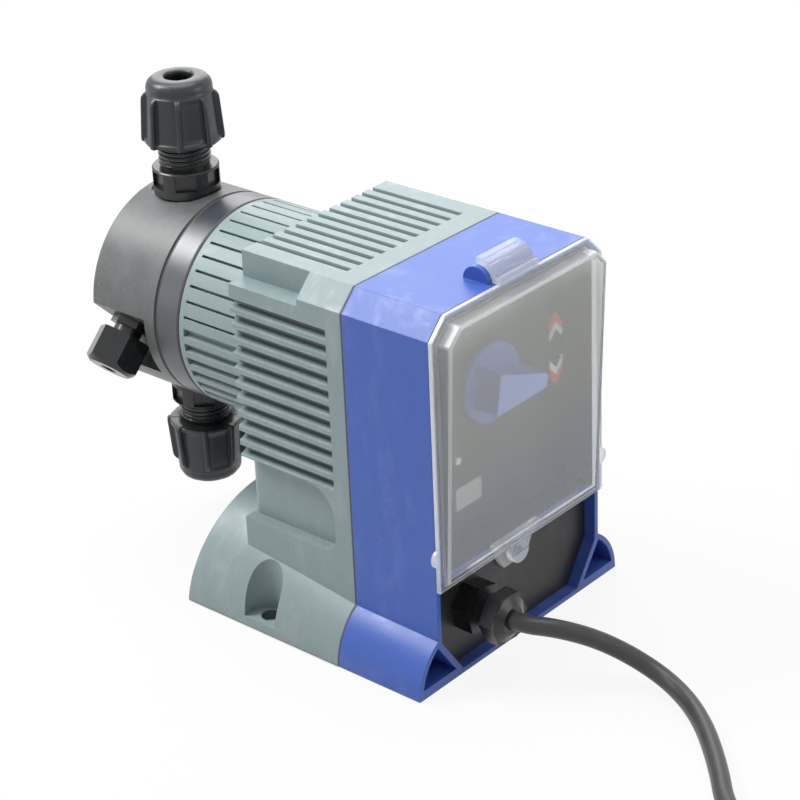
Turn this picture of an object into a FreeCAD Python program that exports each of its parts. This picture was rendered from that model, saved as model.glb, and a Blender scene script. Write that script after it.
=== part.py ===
import FreeCAD, Part
import math
import os

os.makedirs("parts", exist_ok=True)

# A diaphragm metering pump that stands on its own base.
# Z is up. The drive axis runs along Y: the operating face looks towards -Y and
# the pump head towards +Y. The origin lies midway between the two foot holes,
# on the plane that the base stands on. All sizes are in millimetres.

# Housing
housing_width = 120.0
housing_height = 183.5
top_chamfer = 9.7
foot_reach = 14.1
foot_to_seam = 49.5
gasket_thickness = 1.0
front_depth = 48.5
foot_to_block_back = 18.0
foot_to_base_back = 47.5
foot_to_barrel_back = 62.7
base_lean = 8.7
flare_radius_rim = 29.5
flare_radius_seam = 31.8
flare_radius_back = 49.8
plain_band = 9.3
edge_break = 1.2

# Drive axis and barrel
barrel_radius = 51.0
barrel_to_top = 5.7
barrel_wall = 10.0
barrel_floor = 12.7
flange_bore_to_rim = 21.0
barrel_slots = 42
barrel_slot_width = 1.2
barrel_slot_depth = 2.6
barrel_rim = 3.0
barrel_groove_from = 80.0
barrel_groove_width = 4.0
barrel_groove_floor = 2.2

# Grooves and recesses of the rear housing
side_groove_count = 11
side_groove_lowest = 86.0
side_groove_to_top = 22.5
side_groove_width = 4.8
side_groove_floor = 2.2
side_groove_depth = 3.5
top_groove_count = 11
top_groove_to_side = 21.5
top_groove_width = 3.4
top_groove_floor = 1.8
top_groove_depth = 3.0
top_groove_start = 12.5
side_recess_depth = 6.0
side_recess_low = 50.0
side_recess_high = 82.5
side_recess_radius = 16.0
side_recess_foot = 8.0
side_recess_corner = 4.0
shoulder_depth = 10.0
shoulder_drop = 13.0
shoulder_start = 25.5

# Walls inside the housings
rear_wall = 10.0
rear_back_wall = 5.0
rear_floor = 8.0
rear_roof = 17.5
rim_wall = 2.5
seat_wall = 7.5
sill_low = 50.0
sill_thickness = 2.0
sill_rib = 5.0
terminal_depth = 6.0
control_depth = 18.0
panel_thickness = 3.0
panel_gap = 0.2
foot_skin = 2.5
foot_floor = 4.6
foot_pocket_depth = 34.0
foot_pocket_inner = 48.2
foot_web = 3.0

# Feet
foot_hole_spacing = 132.0
foot_hole_radius = 4.5
foot_pad = 5.0
foot_cut_radius = 10.1
foot_cut_offset = 4.5

# Long screws between the housings
boss_radius = 6.5
boss_wall_bite = 1.5
boss_low = 62.0
boss_to_top = 26.5
rear_boss_length = 28.0
screw_radius = 2.0
screw_hole_gap = 0.2
screw_head_radius = 3.8
screw_head_height = 3.0
screw_reach = 22.0

# Lid
lid_gap = 0.3
lid_flange = 2.0
lid_wall = 2.0
lid_inset = 4.4
lid_low = 51.0
lid_step = 2.5
lid_depth_low = 3.6
lid_depth_high = 9.0
lid_edge = 0.9
lid_ear_width = 3.3
lid_ear_low = 64.0
lid_ear_high = 73.0
hinge_boss_radius = 7.0
hinge_boss_half = 16.0
hinge_setback = 9.2
clip_half = 13.5
clip_wall = 3.0
clip_gap = 0.3
clip_arc = 100.0
clip_flutes = 3
tab_half = 17.0
tab_drop = 16.0
tab_thickness = 2.0
tab_gap = 0.6
lid_screw_radius = 6.2
lid_screw_thickness = 4.0
lid_screw_shank = 2.0
lid_screw_height = 44.5
lid_screw_reach = 2.0

# Operating face
knob_radius = 19.5
knob_thickness = 3.2
knob_gap = 0.3
pointer_height = 13.0
pointer_back = 12.3
pointer_front = 22.9
pointer_wide = 19.6
pointer_narrow = 6.6
pointer_angle = -9.8
spindle_radius = 4.0
running_gap = 0.05
fit_gap = 0.05
key_to_side = 11.0
key_half_width = 5.7
key_length = 14.3
key_up_above = 1.9
key_down_below = 7.4
key_proud = 1.2
key_travel = 0.6
key_gap = 0.3
display_x = -16.0
display_z = 76.0
display_width = 18.0
display_height = 11.0
display_proud = 0.5
lamp_places = ((-22.5, 95.5), (-31.5, 81.5))
lamp_radius = 1.7
lamp_proud = 0.5

# Electronics
standoff_length = 8.0
standoff_radius = 2.5
standoff_to_side = 28.0
standoff_low = 72.0
standoff_to_top = 18.5
board_thickness = 1.6
board_margin = 8.0
module_width = 44.0
module_height = 34.0
module_depth = 15.0
module_below_drive = 38.8

# Cable gland and mains cord
gland_to_side = 28.3
gland_z = 30.0
gland_across = 22.0
gland_hex_length = 10.0
gland_neck_radius = 8.0
gland_neck_length = 6.7
gland_nut_across = 23.0
gland_nut_length = 7.3
gland_dome_length = 2.5
gland_locknut_across = 24.0
gland_locknut_length = 4.0
cord_radius = 4.35
cord_gap = 0.15
coil_mean_radius = 44.0
coil_turns_wide = 3
coil_turns_high = 3
plug_length = 42.0
plug_width = 27.0
plug_thickness = 14.0
plug_tail = 14.0
pin_radius = 2.4
pin_length = 19.0
pin_spacing = 19.0

# Solenoid drive
yoke_gap = 0.2
yoke_wall = 5.0
yoke_length = 48.0
yoke_floor = 4.0
end_plate_thickness = 4.0
coil_inner_radius = 17.5
coil_gap = 1.0
armature_radius = 16.5
armature_length = 32.0
armature_gap = 4.0
pole_radius = 16.5
pole_to_end_plate = 22.0
spring_pocket_radius = 10.5
spring_pocket_depth = 10.0
spring_discs = 6
spring_thickness = 0.8
spring_clearance = 0.4
shaft_radius = 5.0
shaft_disc_radius = 20.0
shaft_disc_thickness = 4.0
stud_radius = 3.0
bridge_radius = 23.0
bridge_flange = 6.0
bridge_clearance = 1.5
bridge_wall = 3.0
bridge_length = 20.0
stop_gap = 0.4

# Wet end
ring_length = 16.4
ring_wall = 15.0
head_length = 43.3
head_edge = 1.5
diaphragm_to_rim = 5.0
diaphragm_thickness = 2.0
chamber_to_rim = 17.0
chamber_depth = 6.0
retainer_radius = 12.0
retainer_thickness = 3.0
head_screw_to_rim = 9.0
head_screw_radius = 3.0
head_screw_head = 4.9
head_screw_head_height = 5.0
head_screw_sink = 6.0
head_screw_bite = 11.0
valve_from_ring = 23.7
passage_radius = 3.0
spot_face_radius = 17.5
spot_face_sink = 1.8
collar_radius = 16.3
collar_height = 13.6
collar_pockets = 6
collar_pocket_width = 10.5
collar_pocket_depth = 2.4
collar_pocket_low = 4.5
collar_pocket_high = 12.4
neck_radius = 12.0
neck_length = 29.4
nozzle_radius = 4.5
nozzle_length = 6.0
valve_bore = 2.6
spigot_radius = 11.0
spigot_length = 18.0
suction_spigot_length = 10.0
seat_thickness = 4.0
seat_hole = 2.8
ball_radius = 4.5
ball_gap = 0.1
ball_travel = 2.0
cage_radius = 5.2
seal_width = 1.7
seal_setback = 6.0
ferrule_length = 6.0
ferrule_bore = 6.3

# Hose nuts
nut_start = 12.6
nut_height = 32.1
nut_skirt_corner = 20.9
nut_top_corner = 19.6
nut_skirt_height = 2.6
nut_rib_width = 1.7
nut_rib_height = 1.6
nut_lip = 0.6
nut_crown_height = 8.8
nut_crown_radius = 16.7
nut_crown_rounding = 4.4
nut_hole_radius = 7.5
nut_crown_wall = 7.3
nut_turn = -3.5
suction_turn_in = 1.4

# Bleed valve, set in a notch of the head
bleed_from_ring = 25.3
bleed_offset = 25.5
bleed_floor_sink = 17.1
bleed_notch_start = 7.3
bleed_notch_edge = 10.0
bleed_base_across = 17.5
bleed_base_height = 4.1
bleed_neck_radius = 7.0
bleed_neck_height = 3.7
bleed_stem_radius = 5.0
bleed_stem_length = 14.0
bleed_thread_radius = 6.0
bleed_thread_length = 12.0
bleed_knob_across = 24.0
bleed_knob_height = 18.0
bleed_knob_wall = 5.7
bleed_hole_radius = 4.0
bleed_passage = 1.5
bleed_gap = 0.3

# Sizes and positions that follow from the sizes above
base_width = housing_width + 2 * foot_reach
drive_height = housing_height - barrel_to_top - barrel_radius
barrel_bore_radius = barrel_radius - barrel_wall
flange_bore_radius = barrel_radius - flange_bore_to_rim
yoke_radius = barrel_bore_radius - yoke_gap
ring_bore_radius = barrel_radius - ring_wall
diaphragm_radius = barrel_radius - diaphragm_to_rim
chamber_radius = barrel_radius - chamber_to_rim
head_screw_circle = barrel_radius - head_screw_to_rim
spot_face_height = barrel_radius - spot_face_sink
bleed_floor = barrel_radius - bleed_floor_sink
seam_y = -foot_to_seam
front_back_y = seam_y - gasket_thickness
rim_y = front_back_y - front_depth
terminal_y = rim_y + terminal_depth
control_y = rim_y + control_depth
control_back_y = control_y + panel_thickness
terminal_back_y = terminal_y + panel_thickness
block_back_y = foot_to_block_back
barrel_back_y = foot_to_barrel_back
yoke_back_y = barrel_back_y - barrel_floor
yoke_front_y = yoke_back_y - yoke_length
plate_front_y = yoke_front_y - end_plate_thickness
ring_back_y = barrel_back_y + ring_length
head_back_y = ring_back_y + head_length
valve_y = ring_back_y + valve_from_ring
bleed_y = ring_back_y + bleed_from_ring
half_width = housing_width / 2
half_base = base_width / 2
gland_x = gland_to_side - half_width
boss_x = half_width - seat_wall - boss_radius + boss_wall_bite
boss_high = housing_height - boss_to_top
side_groove_pitch = (housing_height - side_groove_to_top - side_groove_lowest) / (side_groove_count - 1)
top_groove_pitch = (housing_width - 2 * top_groove_to_side) / (top_groove_count - 1)
key_x = half_width - key_to_side
key_up_low = drive_height + key_up_above
key_down_high = drive_height - key_down_below
standoff_x = half_width - standoff_to_side
standoff_high = housing_height - standoff_to_top
module_z = drive_height - module_below_drive
sill_high = sill_low + sill_thickness
hinge_y = rim_y + hinge_setback
lid_back_y = rim_y - lid_gap
lid_front_y = lid_back_y - lid_flange
board_y = control_back_y + standoff_length


def point(x, y, z):
    return FreeCAD.Vector(x, y, z)


def box(x0, x1, y0, y1, z0, z1):
    return Part.makeBox(x1 - x0, y1 - y0, z1 - z0, point(x0, y0, z0))


def rod(radius, start, direction, length):
    return Part.makeCylinder(radius, length, start, direction)


def rod_y(radius, y0, y1, x=0.0, z=drive_height):
    return rod(radius, point(x, y0, z), point(0, 1, 0), y1 - y0)


def rod_z(radius, z0, z1, x=0.0, y=0.0):
    return rod(radius, point(x, y, z0), point(0, 0, 1), z1 - z0)


def plate_y(outline, y0, y1):
    # a prism with an outline of (x, z) corners, from y0 to y1
    corners = [point(x, y0, z) for x, z in outline]
    face = Part.Face(Part.makePolygon(corners + corners[:1]))
    return face.extrude(point(0, y1 - y0, 0))


def plate_x(outline, x0, x1):
    # a prism with an outline of (y, z) corners, from x0 to x1
    corners = [point(x0, y, z) for y, z in outline]
    face = Part.Face(Part.makePolygon(corners + corners[:1]))
    return face.extrude(point(x1 - x0, 0, 0))


def prism_z(sides, across, z0, z1, x=0.0, y=0.0, turn=0.0):
    # a regular prism, its size given across the flats
    corner = across / 2 / math.cos(math.pi / sides)
    corners = []
    for i in range(sides):
        a = math.radians(turn) + 2 * math.pi * i / sides
        corners.append(point(x + corner * math.cos(a), y + corner * math.sin(a), z0))
    face = Part.Face(Part.makePolygon(corners + corners[:1]))
    return face.extrude(point(0, 0, z1 - z0))


def joined(shapes):
    whole = shapes[0]
    if len(shapes) > 1:
        whole = whole.multiFuse(shapes[1:])
    return whole.removeSplitter()


def revolved_z(profile):
    # a solid of revolution about Z from (radius, z) corners
    corners = [point(r, 0, z) for r, z in profile]
    face = Part.Face(Part.makePolygon(corners + corners[:1]))
    return face.revolve(point(0, 0, 0), point(0, 0, 1), 360)


def stand_on_y(shape, y, x=0.0, z=drive_height):
    # turns a shape built along +Z so that it runs along +Y, and sets it at y
    turned = shape.copy()
    turned.rotate(point(0, 0, 0), point(1, 0, 0), -90)
    turned.translate(point(x, y, z))
    return turned


def both_sides(shape):
    return [shape, shape.mirror(point(0, 0, 0), point(1, 0, 0))]


def column_outline(inset, low):
    # the column's front view: straight sides and two top corners cut at 45 degrees
    w = half_width - inset
    h = housing_height - inset
    c = top_chamfer - inset * (2 - math.sqrt(2))
    return [(-w, low), (w, low), (w, h - c), (w - c, h), (-w + c, h), (-w, h - c)]


def lower_outline(inset):
    # the opening between the feet: its lower corners follow the webs of the foot pockets
    top_x, top_z = pocket_top()
    run_x = top_x - foot_pocket_inner
    run_z = top_z - foot_floor
    run = math.hypot(run_x, run_z)
    offset = foot_web + inset
    edge_x = top_x - offset * run_z / run
    edge_z = top_z + offset * run_x / run
    w = half_width - rim_wall - inset
    low = rim_wall + inset
    side_z = edge_z + (w - edge_x) * run_z / run_x
    low_x = edge_x + (low - edge_z) * run_x / run_z
    return w, low, side_z, low_x


def pocket_top():
    # the upper corner of the foot pocket, where its arc meets its web
    r = flare_radius_rim - foot_skin
    centre = half_base - flare_radius_rim
    x = half_width + 0.3
    return x, math.sqrt(r * r - (x - centre) ** 2)


def flare_wire(radius, y):
    # a quarter circle at each side and a flat top between them
    c = half_base - radius
    d = radius * math.sqrt(0.5)
    left = Part.Arc(point(-half_base, y, 0), point(-c - d, y, d), point(-c, y, radius)).toShape()
    top = Part.makeLine(point(-c, y, radius), point(c, y, radius))
    right = Part.Arc(point(c, y, radius), point(c + d, y, d), point(half_base, y, 0)).toShape()
    low = Part.makeLine(point(half_base, y, 0), point(-half_base, y, 0))
    return Part.Wire([left, top, right, low])


def flare(radius0, y0, radius1, y1):
    return Part.makeLoft([flare_wire(radius0, y0), flare_wire(radius1, y1)], True, True)


def boss_centres():
    return [(x, z) for x in (-boss_x, boss_x) for z in (boss_low, boss_high)]


def rear_housing():
    column = plate_y(column_outline(0, 0), seam_y, block_back_y)
    foot = flare(flare_radius_seam, seam_y, flare_radius_back, block_back_y)
    tail = Part.Face(flare_wire(flare_radius_back, block_back_y))
    tail = tail.extrude(point(0, foot_to_base_back - block_back_y, 0))
    lean = flare_radius_back * 2 * math.tan(math.radians(base_lean))
    beyond = foot_to_base_back + flare_radius_back
    behind = [(foot_to_base_back, 0), (foot_to_base_back - lean, flare_radius_back * 2),
              (beyond, flare_radius_back * 2), (beyond, 0)]
    tail = tail.cut(plate_x(behind, -base_width, base_width))
    barrel = rod_y(barrel_radius, block_back_y - rear_back_wall, barrel_back_y)
    body = joined([column, foot, tail, barrel])

    # the fins of the sides and the top are what is left between the grooves
    cuts = []
    groove_y = seam_y + plain_band
    for i in range(side_groove_count):
        z = side_groove_lowest + i * side_groove_pitch
        outer = half_width + 1
        spread = side_groove_width / 2 + (side_groove_width - side_groove_floor) / 2 / side_groove_depth
        inner = half_width - side_groove_depth
        groove = plate_y([(outer, z - spread), (outer, z + spread),
                          (inner, z + side_groove_floor / 2), (inner, z - side_groove_floor / 2)],
                         groove_y, block_back_y + 1)
        cuts += both_sides(groove)
    for i in range(top_groove_count):
        x = (i - (top_groove_count - 1) / 2) * top_groove_pitch
        outer = housing_height + 1
        spread = top_groove_width / 2 + (top_groove_width - top_groove_floor) / 2 / top_groove_depth
        inner = housing_height - top_groove_depth
        cuts.append(plate_y([(x - spread, outer), (x + spread, outer), (x + top_groove_floor / 2, inner),
                             (x - top_groove_floor / 2, inner)],
                            seam_y + top_groove_start, block_back_y + 1))

    # the barrel's narrow slots on top, and its wide grooves round the sides and below
    for i in range(barrel_slots):
        turn = (i * 360 / barrel_slots + 180) % 360 - 180
        wide = abs(turn) > barrel_groove_from
        width = barrel_groove_width if wide else barrel_slot_width
        floor = barrel_groove_floor if wide else barrel_slot_width
        spread = width / 2 + (width - floor) / 2 / barrel_slot_depth
        outer = drive_height + barrel_radius + 1
        inner = drive_height + barrel_radius - barrel_slot_depth
        slot = plate_y([(-spread, outer), (spread, outer), (floor / 2, inner), (-floor / 2, inner)],
                       block_back_y, barrel_back_y - barrel_rim)
        slot.rotate(point(0, 0, drive_height), point(0, 1, 0), turn)
        cuts.append(slot)

    # the stepped recess low on each side, rounded where it starts
    start = groove_y + 0.7
    r = side_recess_radius
    a = r * math.sqrt(0.5)
    x0 = half_width - side_recess_depth
    f = side_recess_foot
    b = f * math.sqrt(0.5)
    corners = [point(x0, block_back_y + 1, side_recess_low), point(x0, start + f, side_recess_low),
               point(x0, start, side_recess_low + f), point(x0, start, side_recess_high - r),
               point(x0, start + r, side_recess_high), point(x0, block_back_y + 1, side_recess_high)]
    low_middle = point(x0, start + f - b, side_recess_low + f - b)
    high_middle = point(x0, start + r - a, side_recess_high - r + a)
    edges = [Part.makeLine(corners[0], corners[1]), Part.Arc(corners[1], low_middle, corners[2]).toShape(),
             Part.makeLine(corners[2], corners[3]), Part.Arc(corners[3], high_middle, corners[4]).toShape(),
             Part.makeLine(corners[4], corners[5]), Part.makeLine(corners[5], corners[0])]
    recess = Part.Face(Part.Wire(edges)).extrude(point(side_recess_depth + 1, 0, 0))
    cuts += both_sides(recess)

    # the back corners of the recess wall are rounded
    q = side_recess_corner
    corner = box(x0 - q, x0, block_back_y - q, block_back_y + 1, side_recess_low, side_recess_high)
    corner = corner.cut(rod_z(q, side_recess_low, side_recess_high, x0 - q, block_back_y - q))
    cuts += both_sides(corner)

    # the stepped top corners behind the plain band
    step = box(half_width - shoulder_depth, half_width + 1, seam_y + shoulder_start, block_back_y + 1,
               housing_height - shoulder_drop, housing_height + 1)
    cuts += both_sides(step)

    # inside: the electronics space, the bore for the magnet and the hole for its guide
    inner_x = half_width - rear_wall
    room = box(-inner_x, inner_x, seam_y - 1, block_back_y - rear_back_wall,
               rear_floor, housing_height - rear_roof)
    bosses = [rod_y(boss_radius, seam_y, seam_y + rear_boss_length, x, z) for x, z in boss_centres()]
    cuts.append(room.cut(joined(bosses)))
    cuts.append(rod_y(barrel_bore_radius, yoke_front_y - 8, yoke_back_y))
    cuts.append(rod_y(flange_bore_radius, yoke_back_y - 1, barrel_back_y + 1))
    cuts.append(rod_y(bridge_radius + bridge_flange + bridge_clearance,
                      plate_front_y - bridge_length - bridge_clearance, yoke_front_y))
    for x, z in boss_centres():
        cuts.append(rod_y(screw_radius + fit_gap, seam_y - 1, seam_y + screw_reach + 1, x, z))
    for x, z in head_screw_places():
        cuts.append(rod_y(head_screw_radius + fit_gap, barrel_back_y - head_screw_bite - 1,
                          barrel_back_y + 1, x, z))

    # the feet: a round pocket down to a pad, with a hole for the wall or bench bolt
    for side in (-1, 1):
        hole_x = side * foot_hole_spacing / 2
        cuts.append(rod_z(foot_cut_radius, foot_pad, flare_radius_back,
                          hole_x + side * foot_cut_offset, 0))
        cuts.append(rod_z(foot_hole_radius, -1, foot_pad + 1, hole_x, 0))
    body = body.cut(Part.makeCompound(cuts))
    return body.removeSplitter()


def front_housing():
    column = plate_y(column_outline(0, 0), rim_y, front_back_y)
    foot = flare(flare_radius_rim, rim_y, flare_radius_seam, front_back_y)
    hinge = rod(hinge_boss_radius, point(-hinge_boss_half, hinge_y, housing_height),
                point(1, 0, 0), 2 * hinge_boss_half)
    hinge = hinge.common(box(-hinge_boss_half, hinge_boss_half, hinge_y - 2 * hinge_boss_radius,
                             hinge_y + 2 * hinge_boss_radius, housing_height - 1,
                             housing_height + 2 * hinge_boss_radius))
    body = joined([column, foot, hinge])

    w, low, side_z, low_x = lower_outline(0)
    upper = column_outline(rim_wall, sill_high)
    mouth = [(-low_x, low), (low_x, low), (w, side_z)] + upper[2:5] + [upper[5], (-w, side_z)]
    lower = [(-low_x, low), (low_x, low), (w, side_z), (w, sill_low), (-w, sill_low), (-w, side_z)]
    cuts = [plate_y(mouth, rim_y - 1, terminal_y), plate_y(upper, rim_y, control_back_y),
            plate_y(lower, rim_y, terminal_back_y)]

    # behind the two plates the space is smaller, so that each plate has a seat
    inset = seat_wall - rim_wall
    iw, ilow, iside, ilow_x = lower_outline(inset)
    inner_top = column_outline(seat_wall, sill_high + sill_rib)
    inner = [(-ilow_x, ilow), (ilow_x, ilow), (iw, iside)] + inner_top[2:5]
    inner = inner + [inner_top[5], (-iw, iside)]
    room = plate_y(inner, control_back_y, front_back_y + 1)
    bosses = [rod_y(boss_radius, control_back_y, front_back_y, x, z) for x, z in boss_centres()]
    cuts.append(room.cut(joined(bosses)))
    below = [(-ilow_x, ilow), (ilow_x, ilow), (iw, iside), (iw, sill_low - sill_rib),
             (-iw, sill_low - sill_rib), (-iw, iside)]
    cuts.append(plate_y(below, terminal_back_y - 1, control_back_y + 1))
    for x, z in boss_centres():
        cuts.append(rod_y(screw_radius + screw_hole_gap, control_back_y - 1, front_back_y + 1, x, z))
        cuts.append(rod_y(screw_head_radius + screw_hole_gap, control_back_y - 1,
                          control_back_y + screw_head_height + 0.5, x, z))

    # the open pocket in the front of each foot: an arc, a slanted web and a floor
    r = flare_radius_rim - foot_skin
    centre = half_base - flare_radius_rim
    top_x, top_z = pocket_top()
    out_x = centre + math.sqrt(r * r - foot_floor ** 2)
    a0 = math.atan2(foot_floor, out_x - centre)
    a1 = math.atan2(top_z, top_x - centre)
    a = (a0 + a1) / 2
    y = rim_y - 1
    arc = Part.Arc(point(out_x, y, foot_floor), point(centre + r * math.cos(a), y, r * math.sin(a)),
                   point(top_x, y, top_z)).toShape()
    web = Part.makeLine(point(top_x, y, top_z), point(foot_pocket_inner, y, foot_floor))
    floor = Part.makeLine(point(foot_pocket_inner, y, foot_floor), point(out_x, y, foot_floor))
    pocket = Part.Face(Part.Wire([arc, web, floor])).extrude(point(0, foot_pocket_depth + 1, 0))
    cuts += both_sides(pocket)
    return body.cut(Part.makeCompound(cuts)).removeSplitter()


def housing_gasket():
    sheet = joined([plate_y(column_outline(0, 0), front_back_y, seam_y),
                    Part.Face(flare_wire(flare_radius_seam, front_back_y))
                    .extrude(point(0, gasket_thickness, 0))])
    inner_x = half_width - rear_wall
    room = box(-inner_x, inner_x, front_back_y - 1, seam_y + 1, rear_floor, housing_height - rear_roof)
    for x, z in boss_centres():
        room = room.cut(rod_y(boss_radius, front_back_y - 2, seam_y + 2, x, z))
    sheet = sheet.cut(room)
    for x, z in boss_centres():
        sheet = sheet.cut(rod_y(screw_radius + screw_hole_gap, front_back_y - 1, seam_y + 1, x, z))
    return sheet


def housing_screws():
    screws = []
    for x, z in boss_centres():
        head_back = control_back_y + screw_head_height + 0.5
        head = rod_y(screw_head_radius, head_back - screw_head_height, head_back, x, z)
        shank = rod_y(screw_radius, head_back, seam_y + screw_reach, x, z)
        screws.append(joined([head, shank]))
    return Part.makeCompound(screws)


def key_outline(grow, up):
    # an arrow head with a notched foot, pointing up or down
    w = key_half_width + grow
    k = grow * 1.4
    rows = [(0, key_length + k), (w, key_length * 0.42), (w, -grow), (0, key_length * 0.2 - k),
            (-w, -grow), (-w, key_length * 0.42)]
    if up:
        return [(key_x + x, key_up_low + z) for x, z in rows]
    return [(key_x + x, key_down_high - z) for x, z in rows]


def control_panel():
    outline = column_outline(rim_wall + panel_gap, sill_high + panel_gap)
    panel = plate_y(outline, control_y, control_back_y)
    cuts = [rod_y(spindle_radius + running_gap, control_y - 1, control_back_y + 1)]
    for up in (True, False):
        cuts.append(plate_y(key_outline(key_gap, up), control_y - 1, control_back_y + 1))
    cuts.append(box(display_x - display_width / 2 - fit_gap, display_x + display_width / 2 + fit_gap,
                    control_y - 1, control_y + 1.5, display_z - display_height / 2 - fit_gap,
                    display_z + display_height / 2 + fit_gap))
    for x, z in lamp_places:
        cuts.append(rod_y(lamp_radius + fit_gap, control_y - 1, control_back_y + 1, x, z))
    return panel.cut(Part.makeCompound(cuts))


def display_window():
    return box(display_x - display_width / 2, display_x + display_width / 2,
               control_y - display_proud, control_y + 1.5,
               display_z - display_height / 2, display_z + display_height / 2)


def status_lamps():
    lamps = []
    for x, z in lamp_places:
        lamps.append(rod_y(lamp_radius, control_y - lamp_proud, board_y, x, z))
    return Part.makeCompound(lamps)


def direction_key(up):
    cap = plate_y(key_outline(0, up), control_y - key_proud, control_back_y - key_travel - 0.2)
    z = key_up_low + key_length * 0.45 if up else key_down_high - key_length * 0.45
    stem = rod_y(2.5, control_back_y - 1, board_y - key_travel - 0.3, key_x - 1, z)
    return joined([cap, stem])


def terminal_panel():
    w, low, side_z, low_x = lower_outline(panel_gap)
    high = sill_low - panel_gap
    outline = [(-low_x, low), (low_x, low), (w, side_z), (w, high), (-w, high), (-w, side_z)]
    panel = plate_y(outline, terminal_y, terminal_back_y)
    panel = panel.cut(rod_y(gland_neck_radius + panel_gap, terminal_y - 1, terminal_back_y + 1,
                            gland_x, gland_z))
    return panel.cut(rod_y(lid_screw_shank + 0.4, terminal_y - 1, terminal_back_y + 1,
                           0, lid_screw_height))


def circuit_board():
    w = half_width - seat_wall - board_margin / 4
    board = box(-w, w, board_y, board_y + board_thickness, sill_high + sill_rib + board_margin,
                housing_height - seat_wall - board_margin)
    cuts = [rod_y(spindle_radius + 1.5, board_y - 1, board_y + board_thickness + 1)]
    for x, z in boss_centres():
        cuts.append(rod_y(boss_radius + 0.5, board_y - 1, board_y + board_thickness + 1, x, z))
    return board.cut(Part.makeCompound(cuts))


def board_standoffs():
    posts = []
    for x in (-standoff_x, standoff_x):
        for z in (standoff_low, standoff_high):
            posts.append(rod_y(standoff_radius, control_back_y, board_y, x, z))
    return Part.makeCompound(posts)


def power_module():
    y = board_y + board_thickness
    block = box(-module_width / 2, module_width / 2, y, y + module_depth,
                module_z - module_height / 2, module_z + module_height / 2)
    return block.makeChamfer(1.0, [e for e in block.Edges if abs(e.CenterOfMass.y - y) > 1])


def lid_outline(inset, low):
    return column_outline(lid_inset + inset, low)


def lid_cover():
    # the flange follows the column's rim, and the tray stands out from it, deeper at the top
    flange = plate_y(column_outline(0, lid_low), lid_front_y, lid_back_y)
    low = lid_low + lid_step
    high = housing_height - lid_inset
    side = [(lid_front_y + 0.5, low), (lid_front_y - lid_depth_low + lid_flange, low),
            (lid_front_y - lid_depth_high + lid_flange, high), (lid_front_y + 0.5, high)]
    tray = plate_x(side, -half_width, half_width)
    tray = tray.common(plate_y(lid_outline(0, low), lid_front_y - 2 * lid_depth_high, lid_back_y))
    front_edges = []
    for edge in tray.Edges:
        ends = edge.Vertexes
        slope = (lid_depth_high - lid_depth_low) / (high - low)
        on_face = [abs(v.Y - (lid_front_y - lid_depth_low + lid_flange - slope * (v.Z - low))) < 0.01
                   for v in ends]
        if all(on_face):
            front_edges.append(edge)
    tray = tray.makeChamfer(lid_edge, front_edges)
    hollow_low = low + lid_wall
    hollow_high = high - lid_wall
    y0 = lid_front_y - lid_depth_low + lid_flange + lid_wall
    y1 = lid_front_y - lid_depth_high + lid_flange + lid_wall
    hollow = plate_x([(lid_back_y + 1, hollow_low), (y0, hollow_low), (y1, hollow_high),
                      (lid_back_y + 1, hollow_high)], -half_width, half_width)
    hollow = hollow.common(plate_y(lid_outline(lid_wall, hollow_low), lid_front_y - 2 * lid_depth_high,
                                   lid_back_y + 2))

    # a finger ear on each side, low down
    middle = (lid_ear_low + lid_ear_high) / 2
    half = (lid_ear_high - lid_ear_low) / 2
    ear = rod_y(half, lid_front_y, lid_back_y, 0, 0)
    ear.translate(point(half_width + lid_ear_width - half, 0, middle))
    ears = both_sides(ear)

    # the clip that turns on the hinge boss of the housing
    inner = hinge_boss_radius + clip_gap
    outer = inner + clip_wall
    ring = rod(outer, point(-clip_half, hinge_y, housing_height), point(1, 0, 0), 2 * clip_half)
    ring = ring.cut(rod(inner, point(-clip_half - 1, hinge_y, housing_height), point(1, 0, 0),
                        2 * clip_half + 2))
    gap = clip_gap
    a = math.radians(180 - clip_arc)
    far = outer * 3
    keep = [(hinge_y - far, housing_height + gap), (hinge_y, housing_height + gap),
            (hinge_y + far * math.cos(a), housing_height + far * math.sin(a)),
            (hinge_y, housing_height + far), (hinge_y - far, housing_height + far)]
    ring = ring.common(plate_x(keep, -clip_half, clip_half))
    bridge = box(-clip_half, clip_half, lid_front_y, lid_back_y - 0.05,
                 housing_height - lid_inset + 0.9, housing_height + 3.5)
    flutes = []
    for i in range(clip_flutes):
        b = math.radians(180 - 28 - 24 * i)
        flutes.append(rod(0.6, point(-clip_half, hinge_y + outer * math.cos(b),
                                     housing_height + outer * math.sin(b)),
                          point(1, 0, 0), 2 * clip_half))

    # the tab behind the flange that the thumb screw holds
    tab_y1 = terminal_y - tab_gap
    tab_y0 = tab_y1 - tab_thickness
    web_low = lid_low + 0.5
    web = box(-tab_half, tab_half, lid_back_y - 0.5, tab_y1, web_low, web_low + 2)
    low_z = web_low + 2 - tab_drop
    tab = plate_y([(-tab_half, web_low + 2), (-tab_half * 0.62, low_z + 3.5),
                   (-tab_half * 0.45, low_z), (tab_half * 0.45, low_z),
                   (tab_half * 0.62, low_z + 3.5), (tab_half, web_low + 2)], tab_y0, tab_y1)
    body = joined([flange, tray] + ears + [ring, bridge, web, tab])
    cuts = [hollow, rod_y(lid_screw_shank + running_gap, tab_y0 - 1, tab_y1 + 1, 0, lid_screw_height)]
    body = body.cut(Part.makeCompound(cuts))
    return body.cut(Part.makeCompound(flutes))


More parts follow.
